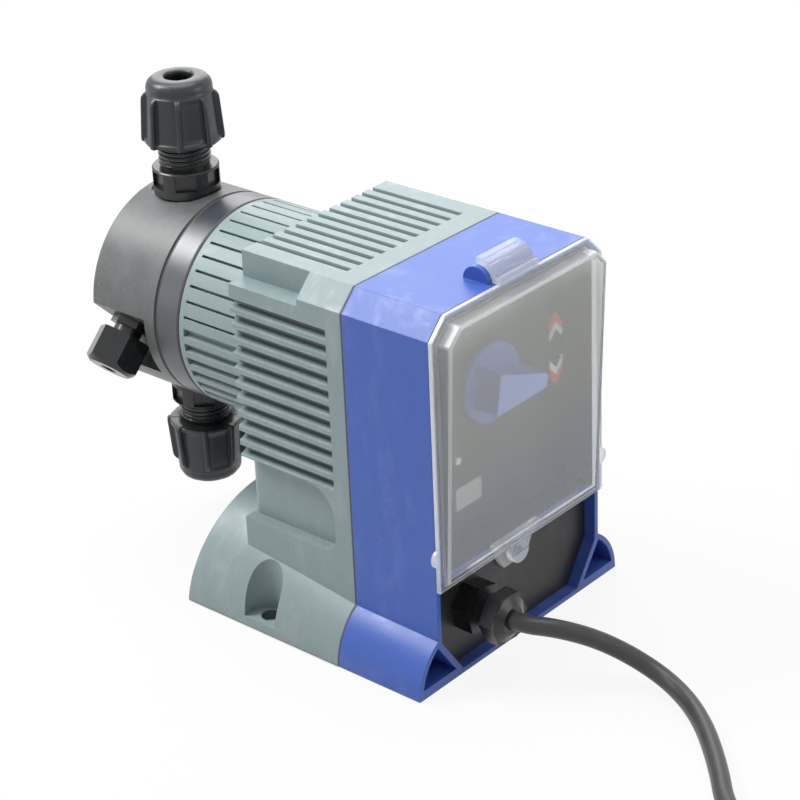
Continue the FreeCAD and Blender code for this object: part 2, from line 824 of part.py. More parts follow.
def lid_screw():
    tab_y0 = terminal_y - tab_gap - tab_thickness
    head = rod_y(lid_screw_radius, tab_y0 - 0.1 - lid_screw_thickness, tab_y0 - 0.1,
                 0, lid_screw_height)
    head = head.makeChamfer(0.5, [e for e in head.Edges if e.CenterOfMass.y < tab_y0 - 2
                                  and len(e.Vertexes) == 1])
    shank = rod_y(lid_screw_shank, tab_y0 - 0.5, terminal_y + lid_screw_reach, 0, lid_screw_height)
    slot = box(-lid_screw_radius - 1, lid_screw_radius + 1, tab_y0 - lid_screw_thickness - 1,
               tab_y0 - lid_screw_thickness + 1, lid_screw_height - 0.6, lid_screw_height + 0.6)
    return joined([head, shank]).cut(slot)


def stroke_knob():
    back = control_y - knob_gap
    disc = rod_y(knob_radius, back - knob_thickness, back)
    disc = disc.makeChamfer(0.6, [e for e in disc.Edges if len(e.Vertexes) == 1
                                  and e.CenterOfMass.y < back - 1])
    # a tapered wedge with a slightly smaller front face
    y0 = back - knob_thickness + 0.5
    y1 = back - knob_thickness - pointer_height
    wires = []
    for y, s in ((y0, 0.8), (y1, 0.0)):
        rows = [(-pointer_back - s, pointer_wide / 2 + s), (pointer_front + s, pointer_narrow / 2 + s),
                (pointer_front + s, -pointer_narrow / 2 - s), (-pointer_back - s, -pointer_wide / 2 - s)]
        corners = [point(u, y, drive_height + v) for u, v in rows]
        wires.append(Part.makePolygon(corners + corners[:1]))
    wedge = Part.makeLoft(wires, True, True)
    long_edges = [e for e in wedge.Edges if e.BoundBox.YLength > 1]
    wedge = wedge.makeFillet(1.4, long_edges)
    wedge.rotate(point(0, 0, drive_height), point(0, 1, 0), -pointer_angle)
    body = joined([disc, wedge])
    return body.cut(rod_y(spindle_radius + fit_gap, back - 8, back + 1))


def stroke_spindle():
    end = armature_back_y() - stop_gap
    return rod_y(spindle_radius, control_y - knob_gap - 8, end)


def armature_back_y():
    return yoke_back_y - yoke_floor - pole_length() - armature_gap - armature_length


def pole_length():
    return yoke_length - yoke_floor - pole_to_end_plate


def armature():
    back = armature_back_y()
    body = rod_y(armature_radius, back, back + armature_length)
    body = body.makeChamfer(1.0, [e for e in body.Edges if len(e.Vertexes) == 1
                                  and abs(e.CenterOfMass.y - back) < 0.1])
    return body.cut(rod_y(shaft_radius, back + armature_length - 14, back + armature_length + 1))


def drive_shaft():
    start = armature_back_y() + armature_length - 14
    disc_y = ring_back_y - shaft_disc_thickness
    stud_end = ring_back_y + diaphragm_thickness + retainer_thickness
    return joined([rod_y(shaft_radius, start, disc_y + 1),
                   rod_y(shaft_disc_radius, disc_y, ring_back_y),
                   rod_y(stud_radius, ring_back_y - 1, stud_end)])


def solenoid_yoke():
    cup = rod_y(yoke_radius, yoke_front_y, yoke_back_y)
    cup = cup.cut(rod_y(yoke_radius - yoke_wall, yoke_front_y - 1, yoke_back_y - yoke_floor))
    pole_y = yoke_back_y - yoke_floor - pole_length()
    pole = rod_y(pole_radius, pole_y, yoke_back_y - 1)
    body = joined([cup, pole])
    body = body.cut(rod_y(spring_pocket_radius, pole_y - 1, pole_y + spring_pocket_depth))
    return body.cut(rod_y(shaft_radius + 0.5, pole_y - 1, yoke_back_y + 1))


def yoke_end_plate():
    plate = rod_y(yoke_radius, plate_front_y, yoke_front_y)
    return plate.cut(rod_y(armature_radius + running_gap, plate_front_y - 1, yoke_front_y + 1))


def solenoid_coil():
    y0 = yoke_front_y + 0.05
    y1 = yoke_back_y - yoke_floor - 0.05
    outer = yoke_radius - yoke_wall - 0.1
    drum = rod_y(outer, y0, y1)
    waist = rod_y(outer + 1, y0 + 3, y1 - 3).cut(rod_y(outer - coil_gap, y0 + 2, y1 - 2))
    return drum.cut(waist).cut(rod_y(coil_inner_radius, y0 - 1, y1 + 1))


def spindle_bridge():
    # a cup on the end plate that the stroke spindle is screwed through
    front = plate_front_y - bridge_length
    cup = rod_y(bridge_radius, front, plate_front_y)
    cup = cup.cut(rod_y(bridge_radius - bridge_wall, front + bridge_wall, plate_front_y + 1))
    foot = rod_y(bridge_radius + bridge_flange, plate_front_y - bridge_wall, plate_front_y)
    foot = foot.cut(rod_y(bridge_radius - bridge_wall, plate_front_y - bridge_wall - 1,
                          plate_front_y + 1))
    return joined([cup, foot]).cut(rod_y(spindle_radius + running_gap, front - 1, front + bridge_wall + 1))


def return_spring():
    # a stack of disc springs, every second one turned over, that pushes the armature back
    pole_y = yoke_back_y - yoke_floor - pole_length()
    y0 = pole_y - armature_gap
    pitch = (armature_gap + spring_pocket_depth) / spring_discs
    rise = pitch - spring_thickness - 0.02
    inner = shaft_radius + spring_clearance
    outer = spring_pocket_radius - spring_clearance
    discs = []
    for i in range(spring_discs):
        low = i * pitch
        a, b = (inner, outer) if i % 2 == 0 else (outer, inner)
        disc = revolved_z([(a, low), (b, low + rise), (b, low + rise + spring_thickness),
                           (a, low + spring_thickness)])
        discs.append(stand_on_y(disc, y0))
    return Part.makeCompound(discs)


def shaft_bush():
    bush = rod_y(flange_bore_radius - fit_gap, yoke_back_y, barrel_back_y)
    bush = bush.cut(rod_y(flange_bore_radius - 8, barrel_back_y - 6, barrel_back_y + 1)
                    .cut(rod_y(shaft_radius + 6, barrel_back_y - 7, barrel_back_y + 2)))
    return bush.cut(rod_y(shaft_radius + running_gap, yoke_back_y - 1, barrel_back_y + 1))


def head_screw_places():
    places = []
    for i in range(4):
        a = math.radians(45 + 90 * i)
        places.append((head_screw_circle * math.cos(a), drive_height + head_screw_circle * math.sin(a)))
    return places


def adapter_ring():
    ring = rod_y(barrel_radius, barrel_back_y, ring_back_y)
    rims = [e for e in ring.Edges if len(e.Vertexes) == 1]
    ring = ring.makeChamfer(edge_break / 2, rims)
    cuts = [rod_y(ring_bore_radius, barrel_back_y - 1, ring_back_y + 1)]
    for x, z in head_screw_places():
        cuts.append(rod_y(head_screw_radius + screw_hole_gap, barrel_back_y - 1, ring_back_y + 1, x, z))
    return ring.cut(Part.makeCompound(cuts))


def bleed_axis(distance):
    # a point on the bleed valve's axis, which slopes down and to the left
    s = math.sqrt(0.5)
    return point(-s * (distance + bleed_offset), bleed_y, drive_height + s * (bleed_offset - distance))


def bleed_direction():
    s = math.sqrt(0.5)
    return point(-s, 0, -s)


def place_on_bleed(shape):
    # takes a shape built along +Z from the head's axis and lays it along the bleed valve's axis
    placed = shape.copy()
    placed.rotate(point(0, 0, 0), point(0, 1, 0), -135)
    placed.translate(bleed_axis(0))
    return placed


def pump_head():
    body = rod_y(barrel_radius, ring_back_y, head_back_y)
    near = [e for e in body.Edges if len(e.Vertexes) == 1 and e.CenterOfMass.y < ring_back_y + 1]
    body = body.makeChamfer(edge_break / 2, near)
    far = [e for e in body.Edges if len(e.Vertexes) == 1 and e.CenterOfMass.y > head_back_y - 0.01]
    body = body.makeFillet(head_edge, far)
    cuts = [rod_y(diaphragm_radius + 0.1, ring_back_y - 1, ring_back_y + diaphragm_thickness),
            rod_y(chamber_radius, ring_back_y - 1, ring_back_y + diaphragm_thickness + chamber_depth)]
    for x, z in head_screw_places():
        cuts.append(rod_y(head_screw_radius + screw_hole_gap, ring_back_y - 1, head_back_y + 1, x, z))
        cuts.append(rod_y(head_screw_head + screw_hole_gap, head_back_y - head_screw_sink,
                          head_back_y + 1, x, z))
    spot = drive_height + spot_face_height
    spot_low = drive_height - spot_face_height
    cuts.append(rod_z(spot_face_radius, spot, spot + 10, 0, valve_y))
    cuts.append(rod_z(spot_face_radius, spot_low - 10, spot_low, 0, valve_y))
    delivery_floor = spot - spigot_length - seat_thickness
    suction_top = suction_seat_high()
    cuts.append(rod_z(spigot_radius + fit_gap, delivery_floor, spot + 1, 0, valve_y))
    cuts.append(rod_z(spigot_radius + fit_gap, spot_low - 1, suction_top, 0, valve_y))
    cuts.append(rod_z(passage_radius, suction_top - 1, delivery_floor + 1, 0, valve_y))
    cuts.append(rod_y(passage_radius, ring_back_y, valve_y))

    # the notch that the bleed valve stands in, open at the side and at the far end
    notch = box(bleed_notch_edge, 2 * barrel_radius, bleed_notch_start, head_length + 2,
                bleed_floor, 2 * barrel_radius)
    turned = notch.copy()
    turned.translate(point(0, ring_back_y, 0))
    turned.rotate(point(0, 0, 0), point(0, 1, 0), -135)
    turned.translate(point(0, 0, drive_height))
    cuts.append(turned)
    cuts.append(rod(bleed_stem_radius + fit_gap, bleed_axis(bleed_floor - bleed_stem_length),
                    bleed_direction(), bleed_stem_length + 1))
    cuts.append(rod(bleed_passage, bleed_axis(-bleed_offset + spigot_radius + 3), bleed_direction(),
                    bleed_floor + bleed_offset - bleed_stem_length - spigot_radius - 2))
    return body.cut(Part.makeCompound(cuts)).removeSplitter()


def head_screws():
    screws = []
    for x, z in head_screw_places():
        seat = head_back_y - head_screw_sink
        head = rod_y(head_screw_head, seat, seat + head_screw_head_height, x, z)
        socket = stand_on_y(prism_z(6, 5.0, 0, 3.5), seat + head_screw_head_height - 3, x, z)
        shank = rod_y(head_screw_radius, barrel_back_y - head_screw_bite, seat, x, z)
        screws.append(joined([head, shank]).cut(socket))
    return Part.makeCompound(screws)


def diaphragm():
    disc = rod_y(diaphragm_radius, ring_back_y, ring_back_y + diaphragm_thickness)
    cuts = [rod_y(stud_radius + fit_gap, ring_back_y - 1, ring_back_y + 5)]
    for x, z in head_screw_places():
        cuts.append(rod_y(head_screw_radius + screw_hole_gap, ring_back_y - 1, ring_back_y + 5, x, z))
    return disc.cut(Part.makeCompound(cuts))


def diaphragm_retainer():
    y = ring_back_y + diaphragm_thickness
    disc = rod_y(retainer_radius, y, y + retainer_thickness)
    far = [e for e in disc.Edges if len(e.Vertexes) == 1 and e.CenterOfMass.y > y + 1]
    disc = disc.makeChamfer(1.0, far)
    return disc.cut(rod_y(stud_radius + fit_gap, y - 1, y + retainer_thickness + 1))


def upright(shape):
    # moves a shape built about the drive axis height to the valve line
    placed = shape.copy()
    placed.translate(point(0, valve_y, drive_height))
    return placed


def upside_down(shape):
    # the same, on the underside of the head
    placed = shape.mirror(point(0, 0, 0), point(0, 0, 1))
    placed.translate(point(0, valve_y, drive_height))
    return placed


def valve_body(cage):
    # heights are counted from the drive axis, outwards
    foot = spot_face_height
    top = foot + collar_height
    collar = rod_z(collar_radius, foot, top)
    collar = collar.makeChamfer(0.6, [e for e in collar.Edges if len(e.Vertexes) == 1])
    pockets = []
    for i in range(collar_pockets):
        pocket = box(collar_radius - collar_pocket_depth, collar_radius + 1, -collar_pocket_width / 2,
                     collar_pocket_width / 2, foot + collar_pocket_low, foot + collar_pocket_high)
        pocket.rotate(point(0, 0, 0), point(0, 0, 1), -136 + 360 * i / collar_pockets)
        pockets.append(pocket)
    collar = collar.cut(Part.makeCompound(pockets))
    neck_top = top + neck_length
    neck = rod_z(neck_radius, top - 1, neck_top)
    nozzle = rod_z(nozzle_radius, neck_top - 1, neck_top + nozzle_length)
    length = spigot_length if cage else suction_spigot_length
    spigot = rod_z(spigot_radius, foot - length, foot + 1)
    body = joined([collar, neck, nozzle, spigot])
    groove_low = foot - seal_setback
    groove = rod_z(spigot_radius + 1, groove_low, groove_low + seal_width + 0.1)
    groove = groove.cut(rod_z(spigot_radius - seal_width - 0.05, groove_low - 1, foot))
    cuts = [groove, rod_z(valve_bore, foot - length - 1, neck_top + nozzle_length + 1)]
    if cage:
        room = 2 * ball_radius + ball_travel + 0.5
        cuts.append(rod_z(cage_radius, foot - length - 1, foot - length + room - ball_sink()))
    return body.cut(Part.makeCompound(cuts))


def ball_sink():
    # how far the ball's lowest point lies below the face of its seat
    return ball_radius - math.sqrt(ball_radius ** 2 - seat_hole ** 2)


def seat_line():
    # distance from the drive axis to the outer face of the suction seat
    return spot_face_height - suction_spigot_length


def suction_seat_high():
    room = 2 * ball_radius + ball_travel + 0.9 - ball_sink()
    return drive_height - seat_line() + seat_thickness + room


def delivery_seat():
    low = spot_face_height - spigot_length - seat_thickness
    ring = rod_z(spigot_radius - 0.1, low, low + seat_thickness)
    return upright(ring.cut(rod_z(seat_hole, low - 1, low + seat_thickness + 1)))


def delivery_ball():
    seat = drive_height + spot_face_height - spigot_length
    centre = seat + math.sqrt(ball_radius ** 2 - seat_hole ** 2) + ball_gap
    return Part.makeSphere(ball_radius, point(0, valve_y, centre))


def suction_seat():
    low = drive_height - seat_line()
    high = suction_seat_high()
    cup = rod_z(spigot_radius - 0.1, low, high, 0, valve_y)
    cup = cup.cut(rod_z(seat_hole, low - 1, low + seat_thickness + 1, 0, valve_y))
    return cup.cut(rod_z(cage_radius, low + seat_thickness, high + 1, 0, valve_y))


def suction_ball():
    seat = drive_height - seat_line() + seat_thickness
    centre = seat + math.sqrt(ball_radius ** 2 - seat_hole ** 2) + ball_gap
    return Part.makeSphere(ball_radius, point(0, valve_y, centre))


def seal_ring():
    low = spot_face_height - seal_setback + 0.05
    ring = rod_z(spigot_radius - 0.01, low, low + seal_width)
    return ring.cut(rod_z(spigot_radius - seal_width, low - 1, low + seal_width + 1))


def hose_ferrule():
    low = spot_face_height + collar_height + neck_length
    return revolved_z([(ferrule_bore, low), (neck_radius - 0.3, low),
                       (neck_radius - 0.3, low + ferrule_length * 0.4),
                       (neck_radius - 2.5, low + ferrule_length), (ferrule_bore, low + ferrule_length)])


def hose_nut():
    # heights are counted from the drive axis: an eight-sided core with ribs at its corners, and a
    # round crown with a rounded rim
    low = spot_face_height + collar_height + nut_start
    high = low + nut_height
    shoulder = high - nut_crown_height
    ratio = math.cos(math.pi / 8)
    wires = []
    for z, corner in ((low, nut_skirt_corner - nut_rib_height), (high, nut_top_corner - nut_rib_height)):
        corners = []
        for i in range(8):
            a = math.radians(45 * i)
            corners.append(point(corner * math.cos(a), corner * math.sin(a), z))
        wires.append(Part.makePolygon(corners + corners[:1]))
    body = Part.makeLoft(wires, True, True)
    skirt = prism_z(8, 2 * nut_skirt_corner * ratio, low, low + nut_skirt_height)
    ribs = []
    for i in range(8):
        profile = [(0, low), (nut_skirt_corner, low), (nut_top_corner, shoulder), (0, shoulder)]
        corners = [point(x, -nut_rib_width / 2, z) for x, z in profile]
        rib = Part.Face(Part.makePolygon(corners + corners[:1])).extrude(point(0, nut_rib_width, 0))
        rib.rotate(point(0, 0, 0), point(0, 0, 1), 45 * i)
        ribs.append(rib)
    body = joined([body, skirt] + ribs)

    # the turned outline rounds off the skirt, the rib ends and the crown
    crown = nut_crown_radius
    bend = nut_crown_rounding
    s = bend * math.sqrt(0.5)
    corners = [point(r, 0, z) for r, z in [
        (0, low), (nut_skirt_corner - 2 * nut_lip, low), (nut_skirt_corner, low + 2 * nut_lip),
        (nut_top_corner, shoulder - 2 * nut_lip), (crown + nut_lip, shoulder), (crown, shoulder + nut_lip),
        (crown, high - bend), (crown - bend, high), (0, high)]]
    edges = [Part.makeLine(corners[i], corners[i + 1]) for i in range(6)]
    middle = point(crown - bend + s, 0, high - bend + s)
    edges += [Part.Arc(corners[6], middle, corners[7]).toShape(), Part.makeLine(corners[7], corners[8]),
              Part.makeLine(corners[8], corners[0])]
    outline = Part.Face(Part.Wire(edges)).revolve(point(0, 0, 0), point(0, 0, 1), 360)
    body = body.common(outline)
    body = body.cut(rod_z(neck_radius + running_gap, low - 1, high - nut_crown_wall))
    body = body.cut(rod_z(nut_hole_radius, high - nut_crown_wall - 1, high + 1))
    body.rotate(point(0, 0, 0), point(0, 0, 1), nut_turn)
    return body


def bleed_valve_body():
    base = prism_z(6, bleed_base_across, bleed_floor, bleed_floor + bleed_base_height)
    neck_low = bleed_floor + bleed_base_height - 1
    neck_high = bleed_floor + bleed_base_height + bleed_neck_height
    neck = rod_z(bleed_neck_radius, neck_low, neck_high)
    thread = rod_z(bleed_thread_radius, neck_high - 1, neck_high + bleed_thread_length)
    stem = rod_z(bleed_stem_radius, bleed_floor - bleed_stem_length, bleed_floor + 1)
    body = joined([base, neck, thread, stem])
    body = body.cut(rod_z(bleed_passage, bleed_floor - bleed_stem_length - 1,
                          neck_high + bleed_thread_length + 1))
    return place_on_bleed(body)


def bleed_knob():
    low = bleed_floor + bleed_base_height + bleed_neck_height + bleed_gap
    high = low + bleed_knob_height
    body = prism_z(6, bleed_knob_across, low, high, 0, 0, 8)
    corner = bleed_knob_across / math.sqrt(3)
    dome = revolved_z([(0, low), (corner - 0.6, low), (corner + 0.4, low + 1.5),
                       (corner + 0.4, high - 3.2), (bleed_knob_across / 2 - 1.6, high), (0, high)])
    body = body.common(dome)
    body = body.cut(rod_z(bleed_thread_radius + running_gap, low - 1, high - bleed_knob_wall))
    body = body.cut(rod_z(bleed_hole_radius, high - bleed_knob_wall - 1, high + 1))
    return place_on_bleed(body)


def gland_front_y():
    return terminal_y - gland_hex_length


def gland_neck_y():
    return gland_front_y() - gland_neck_length


def nut_length_all():
    return gland_nut_length + gland_dome_length


def cord_start_y():
    # the cord ends against the inside of the gland body, within the cap nut
    return gland_neck_y() - 2.3


def gland_body():
    hexagon = stand_on_y(prism_z(6, gland_across, 0, gland_hex_length, 0, 0, 15), gland_front_y(),
                         gland_x, gland_z)
    neck = rod_y(gland_neck_radius, cord_start_y(), gland_front_y() + 1, gland_x, gland_z)
    stem = rod_y(gland_neck_radius, terminal_y - 1, terminal_back_y + gland_locknut_length + 4,
                 gland_x, gland_z)
    body = joined([hexagon, neck, stem])
    return body.cut(rod_y(cord_radius - 1.2, cord_start_y() - 1,
                          terminal_back_y + gland_locknut_length + 5, gland_x, gland_z))


def gland_nut():
    front = gland_neck_y() - gland_nut_length
    hexagon = stand_on_y(prism_z(6, gland_nut_across, 0, gland_nut_length, 0, 0, 4), front,
                         gland_x, gland_z)
    dome = Part.makeCone(cord_radius + 2.5, gland_nut_across / 2 - 0.4, gland_dome_length,
                         point(gland_x, front - gland_dome_length, gland_z), point(0, 1, 0))
    body = joined([hexagon, dome])
    body = body.cut(rod_y(gland_neck_radius + fit_gap, cord_start_y() - 4.2, gland_neck_y() + 1,
                          gland_x, gland_z))
    return body.cut(rod_y(cord_radius + cord_gap, front - gland_dome_length - 1, gland_neck_y(),
                          gland_x, gland_z))


def gland_seal():
    y = cord_start_y()
    ring = rod_y(gland_neck_radius - 0.2, y - 4, y, gland_x, gland_z)
    return ring.cut(rod_y(cord_radius + fit_gap, y - 5, y + 1, gland_x, gland_z))


def gland_locknut():
    nut = stand_on_y(prism_z(6, gland_locknut_across, 0, gland_locknut_length), terminal_back_y,
                     gland_x, gland_z)
    return nut.cut(rod_y(gland_neck_radius + fit_gap, terminal_back_y - 1,
                         terminal_back_y + gland_locknut_length + 1, gland_x, gland_z))


# The mains cord lies on the bench in front of the pump. These are the corners of its
# route, which arcs round off, from the gland down to the coil of what is left of it.
cord_low = cord_radius + 0.05
cord_route = [
    (gland_x, cord_start_y(), gland_z), (gland_x, cord_start_y() - 12.5, gland_z),
    (-23.5, -136.5, 28.6), (-11.8, -149.5, 22.4), (-2.6, -162.5, 14.0), (0.8, -179.0, 6.8),
    (-5.0, -196.0, cord_low), (-16.8, -212.5, cord_low), (-30.5, -226.8, cord_low),
    (-43.6, -239.0, cord_low), (-56.9, -250.0, cord_low), (-64.4, -260.6, cord_low),
    (-68.9, -272.8, cord_low), (-70.1, -285.7, cord_low), (-70.1, -328.0, cord_low)]


def cord_tube(route, name):
    corners = [FreeCAD.Vector(p) for p in route]
    edges = []
    last = corners[0]
    length = 0.0
    for i in range(1, len(corners) - 1):
        before = corners[i - 1] - corners[i]
        after = corners[i + 1] - corners[i]
        run = min(before.Length, after.Length)
        turn = math.pi - before.getAngle(after)
        radius = 0.45 * run / math.tan(turn / 2)
        cut = 0.45 * run
        before.normalize()
        after.normalize()
        start = corners[i] + before * cut
        end = corners[i] + after * cut
        inward = before + after
        inward.normalize()
        centre_way = radius / math.cos(turn / 2)
        middle = corners[i] + inward * (centre_way - radius)
        edges.append(Part.LineSegment(last, start).toShape())
        edges.append(Part.Arc(start, middle, end).toShape())
        length += (start - last).Length + radius * turn
        last = end
        print(name, "corner", i, "radius", round(radius, 1), "turn", round(math.degrees(turn), 1))
    edges.append(Part.LineSegment(last, corners[-1]).toShape())
    length += (corners[-1] - last).Length
    path = Part.Wire(edges)
    way = corners[1] - corners[0]
    section = Part.Wire(Part.makeCircle(cord_radius, corners[0], way))
    tube = path.makePipeShell([section], True, False)
    print(name, "length", round(length, 1), "volume error",
          round(tube.Volume / (math.pi * cord_radius ** 2 * length) - 1, 5))
    return tube


def coil_section():
    return coil_turns_wide * cord_radius, coil_turns_high * 2 * cord_radius


def coil_spot(along, aside, z):
    # a place near the coil: along the cord's last run, and aside to its left, from the centre
    end = point(*cord_route[-1])
    way = end - point(*cord_route[-2])
    way.normalize()
    side = point(-way.y, way.x, 0)
    half, height = coil_section()
    reach = math.sqrt((coil_mean_radius + half - cord_radius) ** 2 - coil_mean_radius ** 2)
    centre = end + side * coil_mean_radius + way * reach
    spot = centre + way * along + side * aside
    return point(spot.x, spot.y, z)


def cord_coil():
    # one closed ring with the outer shape of the coiled turns
    half, height = coil_section()
    inner = coil_mean_radius - half
    outer = coil_mean_radius + half
    ring = revolved_z([(inner, 0.05), (outer, 0.05), (outer, height), (inner, height)])
    ring.translate(coil_spot(0, 0, 0))
    return ring


def tail_route():
    # the short run that leaves the outer turn of the coil and bends round it to the plug
    outer = coil_mean_radius + 2 * cord_radius
    lift = plug_thickness / 2
    rows = [(0, 0.0, cord_low), (13, 0.5, cord_low), (27, 4.5, cord_low + 0.8), (40, 10.0, lift),
            (51, 16.5, lift)]
    route = []
    for turn, away, z in rows:
        a = math.radians(turn)
        route.append(coil_spot((outer + away) * math.cos(a), (outer + away) * math.sin(a), z))
    return route


def place_at_plug(shape):
    # takes a shape built along +Y from the end of the cord, on the bench, and sets it there
    route = tail_route()
    way = route[-1] - route[-2]
    placed = shape.copy()
    placed.rotate(point(0, 0, 0), point(0, 0, 1), math.degrees(math.atan2(way.y, way.x)) - 90)
    placed.translate(point(route[-1].x, route[-1].y, 0))
    return placed


def plug_body():
    half = plug_width / 2
    block = box(-half, half, plug_tail, plug_length, 0, plug_thickness)
    block = block.makeFillet(5.0, [e for e in block.Edges if e.BoundBox.ZLength > 1])
    rims = [e for e in block.Edges if e.BoundBox.ZLength < 0.1]
    block = block.makeChamfer(1.2, rims)
    sleeve = Part.makeCone(cord_radius + 1.2, plug_thickness / 2 - 0.3, plug_tail + 1,
                           point(0, 0, plug_thickness / 2), point(0, 1, 0))
    return place_at_plug(joined([block, sleeve]))


def plug_pins():
    pins = []
    for side in (-1, 1):
        pin = rod_y(pin_radius, plug_length, plug_length + pin_length, side * pin_spacing / 2,
                    plug_thickness / 2)
        tips = [e for e in pin.Edges if len(e.Vertexes) == 1
                and e.CenterOfMass.y > plug_length + 1]
        pins.append(place_at_plug(pin.makeChamfer(0.8, tips)))
    return Part.makeCompound(pins)


def add(name, shape):
    shape.exportStep("parts/" + name + ".step")
    print(name, "solids", len(shape.Solids), "volume", round(shape.Volume, 1), "valid", shape.isValid())


add("rear_housing", rear_housing())
add("front_housing", front_housing())
add("housing_gasket", housing_gasket())
add("housing_screws", housing_screws())
add("control_panel", control_panel())
add("display_window", display_window())
add("status_lamps", status_lamps())
add("up_key", direction_key(True))
add("down_key", direction_key(False))
add("terminal_panel", terminal_panel())
add("circuit_board", circuit_board())
add("board_standoffs", board_standoffs())
add("power_module", power_module())
add("lid", lid_cover())
add("lid_screw", lid_screw())
add("stroke_knob", stroke_knob())
add("stroke_spindle", stroke_spindle())
add("spindle_bridge", spindle_bridge())
add("armature", armature())
add("drive_shaft", drive_shaft())
add("solenoid_yoke", solenoid_yoke())
add("yoke_end_plate", yoke_end_plate())
add("solenoid_coil", solenoid_coil())
add("return_spring", return_spring())
add("shaft_bush", shaft_bush())
add("adapter_ring", adapter_ring())
add("pump_head", pump_head())
add("head_screws", head_screws())
add("diaphragm", diaphragm())
add("diaphragm_retainer", diaphragm_retainer())
add("delivery_valve_body", upright(valve_body(True)))
add("delivery_seat", delivery_seat())
add("delivery_ball", delivery_ball())
add("delivery_seal", upright(seal_ring()))
add("delivery_ferrule", upright(hose_ferrule()))
add("delivery_nut", upright(hose_nut()))
add("suction_valve_body", upside_down(valve_body(False)))
add("suction_seat", suction_seat())
add("suction_ball", suction_ball())
add("suction_seal", upside_down(seal_ring()))
add("suction_ferrule", upside_down(hose_ferrule()))
suction_nut = upside_down(hose_nut())
suction_nut.translate(point(0, 0, suction_turn_in))
add("suction_nut", suction_nut)
add("bleed_valve_body", bleed_valve_body())
add("bleed_knob", bleed_knob())
add("gland_body", gland_body())
add("gland_nut", gland_nut())
add("gland_seal", gland_seal())
add("gland_locknut", gland_locknut())
add("power_cord", cord_tube(cord_route, "power_cord"))
add("cord_coil", cord_coil())
add("cord_tail", cord_tube(tail_route(), "cord_tail"))
add("plug_body", plug_body())
add("plug_pins", plug_pins())
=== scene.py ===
import math
import bpy
import numpy as np
from mathutils import Matrix, Vector


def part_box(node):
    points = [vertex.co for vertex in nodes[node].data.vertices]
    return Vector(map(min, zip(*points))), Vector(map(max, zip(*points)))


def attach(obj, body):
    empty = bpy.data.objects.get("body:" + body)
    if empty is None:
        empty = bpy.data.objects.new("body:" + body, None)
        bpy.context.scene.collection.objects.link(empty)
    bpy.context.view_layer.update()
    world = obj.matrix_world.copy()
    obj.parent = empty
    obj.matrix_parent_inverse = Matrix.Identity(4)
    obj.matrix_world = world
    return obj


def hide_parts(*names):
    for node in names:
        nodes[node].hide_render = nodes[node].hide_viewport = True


# Lengths are in metres, and mm turns a size that is easier to read in millimetres. Seen from the
# front, x goes to the right, y away to the back and z up.
mm = 0.001
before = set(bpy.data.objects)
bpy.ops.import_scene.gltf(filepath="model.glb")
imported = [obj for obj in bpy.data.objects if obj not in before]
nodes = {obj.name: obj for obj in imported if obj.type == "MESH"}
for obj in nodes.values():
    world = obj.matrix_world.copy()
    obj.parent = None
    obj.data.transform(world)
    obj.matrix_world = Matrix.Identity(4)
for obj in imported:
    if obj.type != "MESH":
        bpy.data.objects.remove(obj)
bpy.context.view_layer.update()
scene = bpy.context.scene


# The camera

cameraSettings = {
    "spot": (-0.7534, -0.6989, 0.6154),
    "right": (0.6491, -0.7597, -0.0387),
    "up": (0.3682, 0.2693, 0.8899),
    "lens": 109.06,
    "sensor": 36.0,
    "nearest": 0.05,
    "furthest": 20,
}


def addCamera(settings):
    data = bpy.data.cameras.new("camera")
    data.lens = settings["lens"]
    data.sensor_width = settings["sensor"]
    data.clip_start = settings["nearest"]
    data.clip_end = settings["furthest"]
    camera = bpy.data.objects.new("camera", data)
    right = Vector(settings["right"]).normalized()
    back = right.cross(Vector(settings["up"]).normalized()).normalized()
    up = back.cross(right)
    turned = Matrix((right, up, back)).transposed().to_4x4()
    camera.matrix_world = Matrix.Translation(settings["spot"]) @ turned
    scene.collection.objects.link(camera)
    scene.camera = camera


addCamera(cameraSettings)
print("camera placed")


# Meshes from grids of points

def gridMesh(name, points, closedU=False, closedV=False, flip=False, smooth=True):
    # points is an array (rows, columns, 3); a closed direction joins its last line to its first
    rows, columns = points.shape[:2]
    index = np.arange(rows * columns).reshape(rows, columns)
    if closedU:
        index = np.vstack([index, index[:1]])
    if closedV:
        index = np.hstack([index, index[:, :1]])
    quads = np.stack([index[:-1, :-1], index[1:, :-1], index[1:, 1:], index[:-1, 1:]], axis=-1)
    quads = quads.reshape(-1, 4)
    if flip:
        quads = quads[:, ::-1]
    return meshFrom(name, points.reshape(-1, 3), quads.tolist(), smooth)


def meshFrom(name, points, faces, smooth=True):
    mesh = bpy.data.meshes.new(name)
    mesh.from_pydata(np.asarray(points).tolist(), [], faces)
    mesh.polygons.foreach_set("use_smooth", [smooth] * len(mesh.polygons))
    mesh.update()
    shown = bpy.data.objects.new(name, mesh)
    scene.collection.objects.link(shown)
    return shown


# The mains cord

